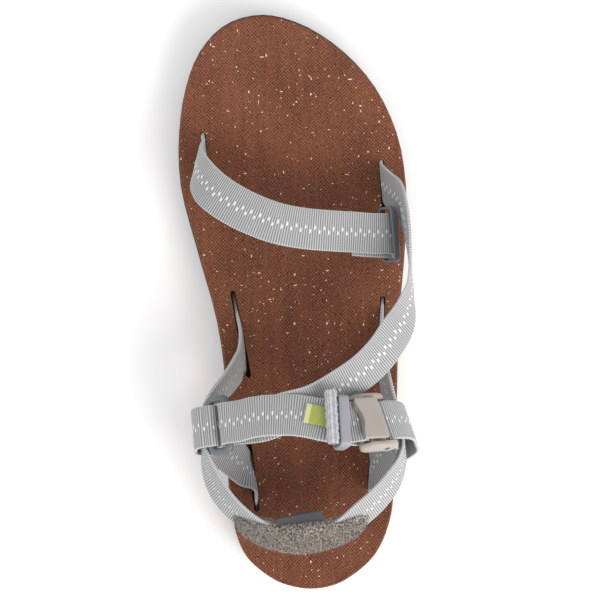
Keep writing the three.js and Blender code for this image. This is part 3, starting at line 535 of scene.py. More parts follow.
def dressed(name, shape, finish, slot, *nodes, smooth=60):
    """A piece of the scene from its points and faces, in one material."""
    made = link(name, mesh_of(name, *shape, smooth=smooth))
    made.data.materials.append(finish)
    return claim(made, slot, *nodes)


# Node building
def new_node(tree, kind, sockets=None, **settings):
    """A node of this kind; its sockets are given as values or as other sockets."""
    node = tree.nodes.new(kind)
    for name, value in settings.items():
        setattr(node, name, value)
    for key, value in (sockets or {}).items():
        if isinstance(value, bpy.types.NodeSocket):
            tree.links.new(value, node.inputs[key])
        else:
            node.inputs[key].default_value = value
    return node


def wire(tree, kind, sockets=None, **settings):
    """The first output of a new node."""
    return new_node(tree, kind, sockets, **settings).outputs[0]


def new_tree(kind, name, inputs, outputs):
    """A node group with named sockets; returns it, its inputs and its outputs."""
    tree = bpy.data.node_groups.new(name, kind)
    for way, sockets in (("INPUT", inputs), ("OUTPUT", outputs)):
        for label, form, *value in sockets:
            socket = tree.interface.new_socket(label, in_out=way, socket_type="NodeSocket" + form)
            if value:
                socket.default_value = value[0]
    return tree, tree.nodes.new("NodeGroupInput").outputs, tree.nodes.new("NodeGroupOutput").inputs


def use_group(tree, group, sockets):
    return new_node(tree, "ShaderNodeGroup", sockets, node_tree=group).outputs


def calc(tree, operation, *values, clamp=False):
    return wire(tree, "ShaderNodeMath", dict(enumerate(values)), operation=operation, use_clamp=clamp)


def half_wave(tree, wave, turn):
    """A sine or cosine between 0 and 1."""
    return calc(tree, "MULTIPLY_ADD", calc(tree, wave, turn), 0.5, 0.5)


def vector(tree, operation, first, second):
    key = "Scale" if operation == "SCALE" else 1
    return wire(tree, "ShaderNodeVectorMath", {0: first, key: second}, operation=operation)


def split(tree, value):
    return new_node(tree, "ShaderNodeSeparateXYZ", {0: value}).outputs


def mapped(tree, place, scale, turn=0.0):
    return wire(tree, "ShaderNodeMapping", {"Vector": place, "Rotation": (0, 0, turn), "Scale": scale})


def noise(tree, place, scale, detail=2.0, output=0, **more):
    sockets = {"Vector": place, "Scale": scale, "Detail": detail, **more}
    return new_node(tree, "ShaderNodeTexNoise", sockets).outputs[output]


def blend_colour(tree, share, low, high):
    sockets = {0: share, 6: low, 7: high}
    return new_node(tree, "ShaderNodeMix", sockets, data_type="RGBA").outputs[2]


def ramp(tree, value, low, high):
    sockets = {"Value": value, "From Min": low, "From Max": high}
    return wire(tree, "ShaderNodeMapRange", sockets, interpolation_type="SMOOTHSTEP")


def colour(r, g, b):
    """A linear colour from the eight-bit values that a screen shows."""
    channel = lambda v: v / 12.92 if v <= 0.04045 else ((v + 0.055) / 1.055) ** 2.4
    return (*(channel(v / 255) for v in (r, g, b)), 1)


def principled(made):
    return next(n for n in made.node_tree.nodes if n.type == "BSDF_PRINCIPLED").inputs


def material(name, **constants):
    made = bpy.data.materials.new(name)
    made.use_nodes = True
    for label, value in constants.items():
        principled(made)[label.replace("_", " ")].default_value = value
    return made, made.node_tree


def coated(made, tint, height, distance, strength):
    """Links a material's colour and its bump, whose distance is in millimetres."""
    tree, inputs = made.node_tree, principled(made)
    tree.links.new(tint, inputs["Base Color"])
    sockets = {"Height": height, "Distance": distance * MM, "Strength": strength}
    tree.links.new(wire(tree, "ShaderNodeBump", sockets), inputs["Normal"])
    return made


# Shared shader effects
def mottle_group():
    """Slow and fine colour variation with a fine grain, for plastics, rubber and cloth."""
    tree, given, result = new_tree(
        "ShaderNodeTree", "mottle",
        [("Vector", "Vector"), ("Colour", "Color", (0.5, 0.5, 0.5, 1)),
         ("Amount", "Float", 0.2), ("Grain size", "Float", 0.4)],
        [("Colour", "Color"), ("Grain", "Float")])
    slow = noise(tree, given[0], 60.0, 3.0)
    fine = noise(tree, given[0], calc(tree, "DIVIDE", 1 / MM, given[3]))
    around = calc(tree, "SUBTRACT", calc(tree, "ADD", slow, fine), 1.0)
    bright = calc(tree, "MULTIPLY_ADD", calc(tree, "MULTIPLY", around, given[2]), 2.0, 1.0)
    tree.links.new(vector(tree, "SCALE", given[1], bright), result[0])
    tree.links.new(fine, result[1])
    return tree


def fleck_group():
    """Scattered specks: a mask that is 1 inside a share of the cells' middles."""
    tree, given, result = new_tree(
        "ShaderNodeTree", "flecks",
        [("Vector", "Vector"), ("Cell", "Float", 4.0), ("Share", "Float", 0.3), ("Size", "Float", 0.15)],
        [("Mask", "Float")])
    ragged = noise(tree, given[0], 900.0, output=1)
    moved = vector(tree, "ADD", given[0], vector(tree, "SCALE", ragged, 0.7 * MM))
    sockets = {"Vector": moved, "Scale": calc(tree, "DIVIDE", 1 / MM, given[1])}
    cells = new_node(tree, "ShaderNodeTexVoronoi", sockets, voronoi_dimensions="2D").outputs
    chance = new_node(tree, "ShaderNodeSeparateColor", {0: cells[1]}).outputs
    kept = calc(tree, "LESS_THAN", chance[0], given[2])
    size = calc(tree, "MULTIPLY", given[3], calc(tree, "ADD", chance[1], 0.3))
    inside = calc(tree, "LESS_THAN", cells[0], size)
    tree.links.new(calc(tree, "MULTIPLY", kept, inside), result[0])
    return tree


def weave_group():
    """Ribbed webbing from a UV map of the share across and the count of ribs, with painted shade in the grooves
    between ribs and between the edge beads.
    """
    tree, given, result = new_tree(
        "ShaderNodeTree", "ribbed weave",
        [("UV", "Vector"), ("Rib", "Color", (0.6, 0.6, 0.6, 1)),
         ("Groove", "Color", (0.3, 0.3, 0.3, 1)), ("Edge", "Color", (0.7, 0.7, 0.7, 1))],
        [("Colour", "Color"), ("Height", "Float")])
    uv = split(tree, given[0])
    across = calc(tree, "MULTIPLY", calc(tree, "SUBTRACT", uv[0], 0.5), float(WEBBING_WIDTH))
    turn = calc(tree, "MULTIPLY", uv[1], 2 * math.pi)
    ridge = half_wave(tree, "COSINE", turn)
    yarn = calc(tree, "MULTIPLY_ADD", across, YARN_TURN, calc(tree, "MULTIPLY", turn, 0.5))
    yarn = half_wave(tree, "SINE", yarn)
    place = wire(tree, "ShaderNodeCombineXYZ", {0: across, 1: uv[1]})
    tone = calc(tree, "MULTIPLY", noise(tree, place, 2.2, 3.0), 0.34)
    tone = calc(tree, "MULTIPLY_ADD", ridge, 0.72, tone)
    tone = calc(tree, "MULTIPLY_ADD", yarn, 0.12, tone, clamp=True)
    # The groove colour is painted shade: the body darkens towards it between the ribs.
    body = blend_colour(tree, tone, given[2], given[1])
    edge = ramp(tree, calc(tree, "ABSOLUTE", across), *PICOT_REACH)
    # The edge beads darken towards the painted groove shade between beads.
    picot = blend_colour(tree, calc(tree, "MULTIPLY_ADD", ridge, 0.5, 0.5), given[2], given[3])
    tree.links.new(blend_colour(tree, edge, body, picot), result[0])
    tree.links.new(calc(tree, "MULTIPLY_ADD", yarn, 0.25, ridge), result[1])
    return tree


MOTTLE = mottle_group()
FLECKS = fleck_group()
WEAVE = weave_group()


# Materials
def object_place(tree):
    return new_node(tree, "ShaderNodeTexCoord").outputs["Object"]


def webbing_material(name, *tints):
    """Ribbed webbing in the colours of its ribs and edges, with painted shade as the colour of its grooves."""
    made, tree = material(name, Roughness=0.78, Sheen_Weight=0.25, Sheen_Roughness=0.4)
    sockets = dict(zip(("Rib", "Groove", "Edge"), (colour(*tint) for tint in tints)))
    sockets["UV"] = wire(tree, "ShaderNodeUVMap", uv_map="weave")
    return coated(made, *use_group(tree, WEAVE, sockets), 0.12, 0.6)


def plastic_material(name, tint, roughness, grain=0.35, amount=0.08):
    made, tree = material(name, Roughness=roughness, Specular_IOR_Level=0.45)
    sockets = {"Vector": object_place(tree), "Colour": colour(*tint), "Amount": amount, "Grain size": grain}
    shade, mottle = use_group(tree, MOTTLE, sockets)
    worn = calc(tree, "MULTIPLY_ADD", mottle, 0.25, roughness - 0.12)
    tree.links.new(worn, principled(made)["Roughness"])
    return coated(made, shade, mottle, 0.05, 0.35)


def footbed_material():
    """Brown foam: a broken diagonal weave, sunken pit marks darkened with painted shade and pale flecks on top,
    a rough cut face at the side.
    """
    made, tree = material("footbed_foam", Roughness=0.86, Specular_IOR_Level=0.3)
    place = object_place(tree)
    sway = vector(tree, "SCALE", noise(tree, place, 160.0, output=1), 1.6 * MM)
    x, y, _ = split(tree, vector(tree, "ADD", place, sway))
    cycle = math.sqrt(2) * math.pi / (FOOTBED_WEAVE * MM)
    lines = []
    for sign in (1.0, -1.0):
        diagonal = calc(tree, "MULTIPLY_ADD", y, sign, x)
        lines.append(calc(tree, "SINE", calc(tree, "MULTIPLY", diagonal, cycle)))
    hatch = calc(tree, "MULTIPLY_ADD", lines[1], 0.8, lines[0])
    depth = calc(tree, "MULTIPLY", ramp(tree, noise(tree, place, 520.0, 1.0), 0.3, 0.7), 0.42)
    weave = calc(tree, "MULTIPLY_ADD", hatch, depth, 0.5)
    streak = noise(tree, mapped(tree, place, (420.0, 26.0, 60.0)), 1.0, 3.0)
    slow = noise(tree, place, 35.0, 4.0)
    grit = noise(tree, place, 1250.0)
    tone = calc(tree, "MULTIPLY", grit, 0.6)
    for layer, share in ((weave, 0.45), (streak, 0.2), (slow, 0.25)):
        tone = calc(tree, "MULTIPLY_ADD", layer, share, tone)
    body = blend_colour(tree, ramp(tree, tone, 0.38, 1.18), colour(52, 27, 18), colour(150, 92, 65))
    facing = split(tree, new_node(tree, "ShaderNodeNewGeometry").outputs["Normal"])
    wall = calc(tree, "SUBTRACT", 1.0, ramp(tree, calc(tree, "ABSOLUTE", facing[2]), 0.55, 0.85))
    cut_face = blend_colour(tree, noise(tree, place, 240.0, 5.0), colour(84, 48, 35), colour(142, 88, 66))
    body = blend_colour(tree, wall, body, cut_face)
    level = calc(tree, "SUBTRACT", 1.0, wall)
    shaded_pits = use_group(tree, FLECKS, {"Vector": place, "Cell": 3.1, "Share": 0.24, "Size": 0.1})[0]
    shaded_pits = calc(tree, "MULTIPLY", shaded_pits, level)
    # The dark colour in the sunken pit marks is painted shade.
    body = blend_colour(tree, calc(tree, "MULTIPLY", shaded_pits, 0.75), body, colour(38, 22, 18))
    specks = 0.0
    for stretch, turn, cell, share, size in (
        ((1.0, 0.4, 1.0), 0.4, 4.2, 0.12, 0.055),
        ((0.35, 1.0, 1.0), 1.1, 4.0, 0.12, 0.06),
        ((1.0, 0.6, 1.0), 0.0, 7.5, 0.14, 0.05),
        ((0.5, 1.0, 1.0), 2.2, 2.0, 0.1, 0.08),
        ((1.0, 0.7, 1.0), 0.9, 1.5, 0.05, 0.16),
    ):
        chosen = {"Vector": mapped(tree, place, stretch, turn), "Cell": cell, "Share": share, "Size": size}
        specks = calc(tree, "MAXIMUM", specks, use_group(tree, FLECKS, chosen)[0])
    specks = calc(tree, "MULTIPLY", specks, level)
    body = blend_colour(tree, specks, body, colour(222, 192, 162))
    relief = calc(tree, "SUBTRACT", calc(tree, "MULTIPLY_ADD", grit, 0.5, weave), shaded_pits)
    return coated(made, body, relief, 0.16, 0.75)


def cloth_material(name, light, dark, thread=0.45, relief=0.1):
    """A fine plain weave on Object coordinates, its thread and relief in millimetres."""
    made, tree = material(name, Roughness=0.85, Sheen_Weight=0.3, Sheen_Roughness=0.5)
    place = object_place(tree)
    cycle = 2 * math.pi / (thread * MM)
    waves = [calc(tree, "SINE", calc(tree, "MULTIPLY", part, cycle)) for part in split(tree, place)[:2]]
    woven = calc(tree, "MULTIPLY_ADD", calc(tree, "MULTIPLY", *waves), 0.5, 0.5)
    grain = calc(tree, "MULTIPLY", noise(tree, place, 900.0, 3.0), 0.5)
    tone = calc(tree, "MULTIPLY_ADD", woven, 0.5, grain, clamp=True)
    return coated(made, blend_colour(tree, tone, colour(*dark), colour(*light)), tone, relief, 0.7)


def fleece_material(name, light, dark):
    made, tree = material(name, Roughness=0.95, Sheen_Weight=0.5, Sheen_Roughness=0.6)
    place = object_place(tree)
    clumps = calc(tree, "MULTIPLY", noise(tree, place, 950.0, 3.0, Roughness=0.6), 0.9)
    tone = calc(tree, "MULTIPLY_ADD", noise(tree, place, 1800.0), 0.4, clumps)
    tone = ramp(tree, tone, 0.56, 0.74)
    return coated(made, blend_colour(tree, tone, colour(*dark), colour(*light)), tone, 0.5, 0.8)


# The second colour of each webbing is painted shade in the grooves between ribs and between edge beads.
webbing_cloth = webbing_material("webbing", (184, 184, 184), (72, 73, 78), (194, 195, 195))
thread_white = cloth_material("white_thread", (222, 226, 226), (204, 208, 210), 0.3, 0.04)
# The hem's second colour is painted shade in its rib grooves.
hem_cloth = webbing_material("hem_webbing", (184, 185, 188), (128, 130, 136), (204, 205, 206))
footbed_foam = footbed_material()
outsole_rubber = plastic_material("outsole_rubber", (44, 42, 42), 0.72, 0.5, 0.2)
ring_plastic = plastic_material("ring_plastic", (96, 101, 107), 0.4)
adjuster_plastic = plastic_material("adjuster_plastic", (140, 140, 146), 0.45)
buckle_plastic = plastic_material("buckle_plastic", (154, 145, 139), 0.42)
pin_dark = plastic_material("pin_dark", (58, 52, 50), 0.5)
label_fold_cloth = cloth_material("label_fold_cloth", (208, 214, 160), (176, 184, 120), 0.6)
label_cloth = cloth_material("label_cloth", (172, 178, 90), (134, 140, 60), 0.6)
tab_cloth = cloth_material("tab_cloth", (54, 53, 62), (30, 29, 36), 0.7)
pad_fleece = fleece_material("pad_fleece", (204, 190, 177), (30, 27, 26))


# Geometry Nodes
def geometry_tree(name, inputs):
    """A geometry tree with named inputs; returns it with its inputs and its last steps."""
    tree, given, result = new_tree(
        "GeometryNodeTree", name,
        [("Geometry", "Geometry"), *inputs, ("Material", "Material")], [("Geometry", "Geometry")])

    def finish_with(geometry):
        real = wire(tree, "GeometryNodeRealizeInstances", {0: geometry})
        clad = wire(tree, "GeometryNodeSetMaterial", {0: real, "Material": given["Material"]})
        tree.links.new(clad, result[0])
        return tree

    return tree, given, finish_with


def grow(made, tree, **values):
    """Runs a geometry tree on an object and keeps the result as its mesh."""
    modifier = made.modifiers.new(tree.name, "NODES")
    modifier.node_group = tree
    labels = {item.name: item.identifier for item in tree.interface.items_tree if item.in_out == "INPUT"}
    for label, value in values.items():
        modifier[labels[label.replace("_", " ")]] = value
    return settled(made)


def named(tree, label, kind="FLOAT"):
    return wire(tree, "GeometryNodeInputNamedAttribute", {"Name": label}, data_type=kind)


def rib_tree():
    """Raises the webbing's ribs along its normals, from the count of ribs along it."""
    tree, given, finish_with = geometry_tree(
        "webbing_ribs", [("Relief", "Float", RIB_RELIEF * MM), ("Seed", "Int", 3)])
    turn = calc(tree, "MULTIPLY", named(tree, "ribs"), 2 * math.pi)
    ridge = calc(tree, "MULTIPLY_ADD", calc(tree, "COSINE", turn), 0.5, -0.5)
    place = wire(tree, "GeometryNodeInputPosition")
    seed = calc(tree, "MULTIPLY", given["Seed"], 1.0)
    loose = wire(
        tree, "ShaderNodeTexNoise", {"Vector": place, "Scale": 260.0, "W": seed}, noise_dimensions="4D")
    lift = calc(tree, "MULTIPLY", calc(tree, "MULTIPLY", ridge, named(tree, "face")), given["Relief"])
    lift = calc(tree, "MULTIPLY", lift, calc(tree, "MULTIPLY_ADD", loose, 0.6, 0.7))
    offset = vector(tree, "SCALE", wire(tree, "GeometryNodeInputNormal"), lift)
    return finish_with(wire(tree, "GeometryNodeSetPosition", {0: given[0], "Offset": offset}))


def dash_tree():
    """Short white threads laid on points, in two rows that take turns."""
    tree, given, finish_with = geometry_tree(
        "thread_dashes",
        [("Length", "Float", 0.002), ("Width", "Float", 0.0009), ("Height", "Float", 0.0004),
         ("Row gap", "Float", 0.0017), ("Seed", "Int", 5)])
    dash = wire(tree, "GeometryNodeMeshUVSphere", {"Segments": 8, "Rings": 4, "Radius": 0.5})
    sides, outs = (named(tree, label, "FLOAT_VECTOR") for label in ("side", "out"))
    facing = wire(tree, "FunctionNodeAlignRotationToVector", {"Vector": sides}, axis="X")
    facing = wire(
        tree, "FunctionNodeAlignRotationToVector", {"Rotation": facing, "Vector": outs},
        axis="Z", pivot_axis="X")
    row = calc(tree, "MODULO", wire(tree, "GeometryNodeInputIndex"), 2.0)
    shift = calc(tree, "MULTIPLY", calc(tree, "SUBTRACT", row, 0.5), given["Row gap"])
    offset = vector(tree, "SCALE", sides, shift)
    moved = wire(tree, "GeometryNodeSetPosition", {0: given[0], "Offset": offset})
    limits = {"Min": 0.85, "Max": 1.1, "Seed": given["Seed"]}
    uneven = new_node(tree, "FunctionNodeRandomValue", limits, data_type="FLOAT")
    spread = next(s for s in uneven.outputs if s.enabled)
    length = calc(tree, "MULTIPLY", given["Length"], spread)
    size = wire(tree, "ShaderNodeCombineXYZ", {0: length, 1: given["Width"], 2: given["Height"]})
    return finish_with(wire(
        tree, "GeometryNodeInstanceOnPoints",
        {"Points": moved, "Instance": dash, "Rotation": facing, "Scale": size}))


def fibre_tree():
    """Short fibres that stand in all directions on a fleece face."""
    tree, given, finish_with = geometry_tree(
        "fleece_fibres",
        [("Density", "Float", 4e6), ("Length", "Float", 0.0014), ("Thickness", "Float", 0.00016),
         ("Seed", "Int", 11)])
    spread = new_node(
        tree, "GeometryNodeDistributePointsOnFaces",
        {"Mesh": given[0], "Density": given["Density"], "Seed": given["Seed"]}).outputs
    cone = {"Vertices": 3, "Radius Top": 0.2, "Radius Bottom": 0.5, "Depth": 1.0}
    fibre = wire(tree, "GeometryNodeMeshCone", cone)
    limits = {0: (-1.2, -1.2, -3.1), 1: (1.2, 1.2, 3.1), "Seed": given["Seed"]}
    lean = wire(tree, "FunctionNodeRandomValue", limits, data_type="FLOAT_VECTOR")
    turned = wire(
        tree, "FunctionNodeRotateRotation",
        {"Rotation": spread["Rotation"], "Rotate By": lean}, rotation_space="LOCAL")
    thickness = given["Thickness"]
    size = wire(tree, "ShaderNodeCombineXYZ", {0: thickness, 1: thickness, 2: given["Length"]})
    stood = wire(
        tree, "GeometryNodeInstanceOnPoints",
        {"Points": spread[0], "Instance": fibre, "Rotation": turned, "Scale": size})
    both = new_node(tree, "GeometryNodeJoinGeometry")
    for part in (given[0], stood):
        tree.links.new(part, both.inputs[0])
    return finish_with(both.outputs[0])


RIBS = rib_tree()
DASHES = dash_tree()
FIBRES = fibre_tree()


# Sole
def sole_edge(stations):
    """The outline as matching points of the inner side, toe and outer side."""
    inner = [spot({"along": row["along"], "across": row["inner"]}) for row in OUTLINE]
    outer = [spot({"along": row["along"], "across": row["outer"]}) for row in OUTLINE]
    heel, toe = spot({"along": 0, "across": HEEL_END}), spot({"along": 1, "across": TOE_TIP})
    flat = [point * (1, 1, 0) for point in [heel, *inner, toe, *outer[::-1]]]
    loop = spline(flat, True, 60)
    low, high = loop[:, 1].argmin(), loop[:, 1].argmax()
    loop = np.roll(loop, -low, 0)
    high = (high - low) % len(loop)
    ys = loop[0, 1] + (loop[high, 1] - loop[0, 1]) * (1 - np.cos(np.pi * np.arange(stations + 1) / stations)) / 2
    sides = []
    for side in (loop[: high + 1], np.vstack([loop[high:], loop[:1]])[::-1]):
        order = np.maximum.accumulate(side[:, 1])
        sides.append(np.column_stack([np.interp(ys, order, side[:, 0]), ys]))
    return np.vstack([sides[0], sides[1][1:-1][::-1]])


def inset_edge(edge, inset):
    heading = np.roll(edge, -1, 0) - np.roll(edge, 1, 0)
    heading /= np.linalg.norm(heading, axis=1)[:, None]
    return edge + np.column_stack([heading[:, 1], -heading[:, 0]]) * inset


def slab(stations, columns, levels):
    """Points and faces of a layer of the sole, from levels of inset and height, upward."""
    edge = sole_edge(stations)
    count = len(edge)
    sides = np.where(np.arange(count) % stations == 0, 0, np.where(np.arange(count) < stations, -1, 1))
    along = (edge[:, 1] + HEEL_REST) / SOLE_LENGTH
    points, faces, rings = [], [], []
    for inset, height in levels:
        flat = inset_edge(edge, inset)
        rings.append(len(points))
        points += [(x, y, z) for (x, y), z in zip(flat, height(along, sides))]
    for low, high in zip(rings, rings[1:]):
        for i in range(count):
            j = (i + 1) % count
            faces.append((low + i, high + i, high + j, low + j))
    for ring, (inset, height), upward in ((rings[0], levels[0], False), (rings[-1], levels[-1], True)):
        grid = []
        for i in range(stations + 1):
            a, b = ring + i, ring + (count - i) % count
            row = [a]
            for j in range(1, columns):
                share = (1 - math.cos(math.pi * j / columns)) / 2
                if i % stations == 0:
                    row.append(a)
                    continue
                x, y = (np.array(points[a][:2]) * (1 - share) + np.array(points[b][:2]) * share)
                row.append(len(points))
                points.append((x, y, float(height((y + HEEL_REST) / SOLE_LENGTH, 2 * share - 1))))
            grid.append([*row, b])
        for low, high in zip(grid, grid[1:]):
            for j in range(columns):
                face = [low[j], low[j + 1], high[j + 1], high[j]]
                face = list(dict.fromkeys(face))
                if len(face) > 2:
                    faces.append(tuple(face if upward else face[::-1]))
    return points, faces


def pocket(slit):
    """The slit's cutter: a long hole with round ends, from its floor to above the footbed."""
    half, radius = slit["length"] * SOLE_LENGTH / 2, SLIT_WIDTH / 2
    turns = np.radians(np.linspace(0, 180, 9))
    ring = [(radius * math.cos(a), half - radius + radius * math.sin(a)) for a in turns]
    ring += [(-x, -y) for x, y in ring]
    cos, sin = (wave(math.radians(slit["lean"])) for wave in (math.cos, math.sin))
    mouth = spot(slit)
    flat = [(mouth[0] + x * cos + y * sin, mouth[1] - x * sin + y * cos) for x, y in ring]
    return lofted([[(x, y, mouth[2] + depth) for x, y in flat] for depth in (-SLIT_DEPTH, SLIT_DEPTH)])


footbed_levels = [(0, footbed_floor)]
footbed_levels += [
    (inset, lambda along, across, drop=drop: footbed_top(along, across) - drop)
    for inset, drop in EDGE_ROUND
]
footbed = link("footbed_surface", mesh_of("footbed", *slab(150, 44, footbed_levels)))
cutter = link("slit_cutter", mesh_of("slits", *joined([pocket(slit) for slit in SLITS.values()])))
cut = footbed.modifiers.new("slits", "BOOLEAN")
cut.operation, cut.solver, cut.object = "DIFFERENCE", "EXACT", cutter
settled(footbed)
bpy.data.objects.remove(cutter)
footbed.data.materials.clear()
footbed.data.materials.append(footbed_foam)
soften(footbed.data, 35)
claim(footbed, "footbed_foam", "footbed")


# Webbing
def sampled(stops, run, *columns):
    """These columns of points or directions, read at stops along a run."""
    return [np.column_stack([np.interp(stops, run, data[:, k]) for k in range(3)]) for data in columns]


def webbing_part(rows, closed=False, path=None):
    """Points, faces, UV corners, rib counts and face marks of one length of webbing."""
    points, _, widths, _ = path or path_of(rows, closed)
    if closed:
        points, widths = (np.vstack([data, data[:1]]) for data in (points, widths))
    run = np.concatenate([[0], np.cumsum(np.linalg.norm(np.diff(points, axis=0), axis=1))])
    ribs = 2 * max(1, round(run[-1] / RIB_PITCH / 2))
    counts = np.arange(ribs * RINGS_TO_A_RIB + (not closed)) / RINGS_TO_A_RIB
    stops = counts / ribs * run[-1]
    path = framed(*sampled(stops, run, points, widths), closed)
    half = WEBBING_WIDTH / 2
    lower = [(a * half, -t * WEBBING_THICKNESS / 2) for a, t in zip(ACROSS, HALF_THICKNESS)]
    section = lower + [(a, -out) for a, out in lower[::-1]]
    points, faces = swept(path, section, closed, 1 + PICOT_RISE * np.cos(2 * np.pi * counts))
    m = len(section)
    share = [a / WEBBING_WIDTH + 0.5 for a, _ in section]
    uvs = [
        (share[index % m], ribs if index // m < face[0] // m else counts[index // m])
        for face in faces for index in face
    ]
    marks = [1.0 if abs(a) < FACE_SHARE * half else 0.0 for a, _ in section]
    return {
        "points": points, "faces": faces, "uvs": uvs, "path": path, "stops": stops,
        "ribs": np.repeat(counts, m), "face": np.tile(marks, len(counts)),
    }


def webbing(name, stands_for, *parts):
    """One webbing piece from its parts, ribs raised; inside the slits it stays in its pockets."""
    points, faces = joined([(part["points"], part["faces"]) for part in parts])
    points = np.array(points)
    along = (points[:, 1] + HEEL_REST) / SOLE_LENGTH
    points[:, 2] = np.maximum(points[:, 2], deck(along) - SLIT_DEPTH + FIT_GAP)
    mesh = mesh_of(name, points, faces, np.concatenate([part["uvs"] for part in parts]), 50)
    for label in ("ribs", "face"):
        values = np.concatenate([part[label] for part in parts]).astype(np.float32)
        mesh.attributes.new(label, "FLOAT", "POINT").data.foreach_set("value", values)
    made = link(name, mesh)
    grow(made, RIBS, Relief=RIB_RELIEF * MM, Material=webbing_cloth)
    soften(made.data, 50)
    return claim(made, "webbing", stands_for)


def dash_points(part, start, end, face):
    """Places for the white threads on one face of a part, between two shares of its run."""
    points, _, widths, outs = part["path"]
    stops = part["stops"]
    places = np.arange(start * stops[-1] + RIB_PITCH, end * stops[-1], RIBS_TO_A_DASH * RIB_PITCH)
    middle, side, out = sampled(places, stops, points, widths, outs * face)
    return middle + out * (WEBBING_THICKNESS / 2 - DASH_SINK), side, out


seats = {name: seat_of(row) for name, row in SEATS.items()}
adjuster, buckle, ankle_ring = (seats[name] for name in ("adjuster", "buckle", "ankle_ring"))
ring_half = RING_SPACING / 2
bar_offset = BUCKLE_LENGTH / 2 - BUCKLE_BAR
layer_step = WEBBING_THICKNESS / 2 + FIT_GAP


def wrap_radius(bar):
    return bar / 2 + 2 * FIT_GAP + WEBBING_THICKNESS / 2


def slit_to_slit(first, table, last):
    return [*leg_rows(SLITS[first]), *strap_rows(table), *leg_rows(SLITS[last])[::-1]]


toe_rows = slit_to_slit("toe_inner", TOE_STRAP, "ring_outer")
toe_part = webbing_part(toe_rows)
webbing("toe_strap_webbing", "toe_strap", toe_part)

toe_path = path_of(toe_rows)
tail = slice(round(TOE_TAIL_FROM * len(toe_path[0])), round(TOE_TAIL_TO * len(toe_path[0])))
tail_points, _, tail_widths, tail_outs = (data[tail] for data in toe_path)
tail_points = tail_points - tail_outs * 2 * layer_step - tail_widths * TOE_TAIL_SHIFT
tail_part = webbing_part(None, path=framed(tail_points, tail_widths, False))
webbing("toe_strap_tail_webbing", "toe_strap_tail", tail_part)

instep_rows = [
    *leg_rows(SLITS["toe_outer"]),
    *strap_rows(INSTEP_RISE),
    *wrap_rows(ankle_ring, ring_half, 0, wrap_radius(RING_BAR), 270, 90),
    *strap_rows(INSTEP_RETURN),
    (local(adjuster, 0, -layer_step), adjuster["b"]),
    *wrap_rows(buckle, -bar_offset, 0, wrap_radius(BUCKLE_BAR), -90, 90),
    *[(local(adjuster, row["run"] * WEBBING_THICKNESS, row["out"] * WEBBING_THICKNESS), adjuster["b"])
      for row in STRAP_TAIL],
]
instep_part = webbing_part(instep_rows)
webbing("instep_strap_webbing", "instep_strap", instep_part)

heel_rows = slit_to_slit("mid_inner", HEEL_STRAP, "mid_outer")
heel_part = webbing_part(heel_rows)
webbing("heel_strap_webbing", "heel_strap", heel_part)


def hang_strap(name, stands_for, seat, along, bar, turn, table, slit, legs):
    """A band round a bar, flattened to the bar's length, and the leg that holds it to a slit."""
    flat = []
    for row in table:
        place = spot(row)
        flat.append((place - seat["b"] * ((place - seat["o"]) @ seat["b"]), seat["b"]))
    band = webbing_part([*wrap_rows(seat, along, 0, wrap_radius(bar), *turn), *flat], closed=True)
    leg = webbing_part([*leg_rows(SLITS[slit], -1), *strap_rows(legs)])
    webbing(name, stands_for, band, leg)
    return band, leg


inner_band, inner_leg = hang_strap(
    "medial_rear_webbing", "medial_rear_strap", ankle_ring, -ring_half, RING_BAR, (-100, 110),
    INNER_BAND, "heel_inner", INNER_LEG)
outer_band, outer_leg = hang_strap(
    "lateral_rear_webbing", "lateral_rear_strap", buckle, bar_offset, BUCKLE_BAR, (280, 80),
    OUTER_BAND, "heel_outer", OUTER_LEG)


def lay_threads(name, runs):
    """One mesh of points for all the threads, with their directions, grown into dashes."""
    columns = [np.vstack(part) for part in zip(*runs)]
    mesh = bpy.data.meshes.new(name)
    mesh.from_pydata((columns[0] * MM).tolist(), [], [])
    for label, values in zip(("side", "out"), columns[1:]):
        attribute = mesh.attributes.new(label, "FLOAT_VECTOR", "POINT")
        attribute.data.foreach_set("vector", values.astype(np.float32).ravel())
    made = link(name, mesh)
    grow(made, DASHES, Length=DASH_LENGTH * MM, Width=DASH_WIDTH * MM, Height=DASH_HEIGHT * MM,
         Row_gap=DASH_ROW_GAP * MM, Material=thread_white)
    soften(made.data, 60)
    return claim(made, "webbing")


lay_threads("webbing_threads", [
    dash_points(part, start, end, face)
    for part, start, end in (
        (toe_part, 0.07, 0.93),
        (tail_part, 0, 1),
        (instep_part, 0.06, 0.985),
        (heel_part, 0.05, 0.4),
        (heel_part, 0.6, 0.95),
        (inner_band, 0, 1),
        (inner_leg, 0.35, 1),
        (outer_band, 0, 1),
        (outer_leg, 0.35, 1),
    )
    for face in (1, -1)
])


# Rings and adjuster
def frame_path(axes, halves, centre, corner):
    u, v, normal = axes
    points = []
    for sign_u, sign_v, start in ((1, 1, 0), (-1, 1, 90), (-1, -1, 180), (1, -1, 270)):
        for turn in np.radians(np.linspace(start, start + 90, 9)):
            first = sign_u * (halves[0] - corner) + corner * math.cos(turn)
            second = sign_v * (halves[1] - corner) + corner * math.sin(turn)
            points.append(centre + u * first + v * second)
    return framed(np.array(points), np.tile(normal, (len(points), 1)), True)


def keeper_path(seat, layers, out, end_gap, thickness):
    inside = (layers * WEBBING_THICKNESS + (layers + 1) * FIT_GAP) / 2
    halves = (WEBBING_WIDTH / 2 + end_gap + thickness / 2, inside + thickness / 2)
    return frame_path((seat["b"], seat["c"], seat["a"]), halves, local(seat, 0, out), thickness)


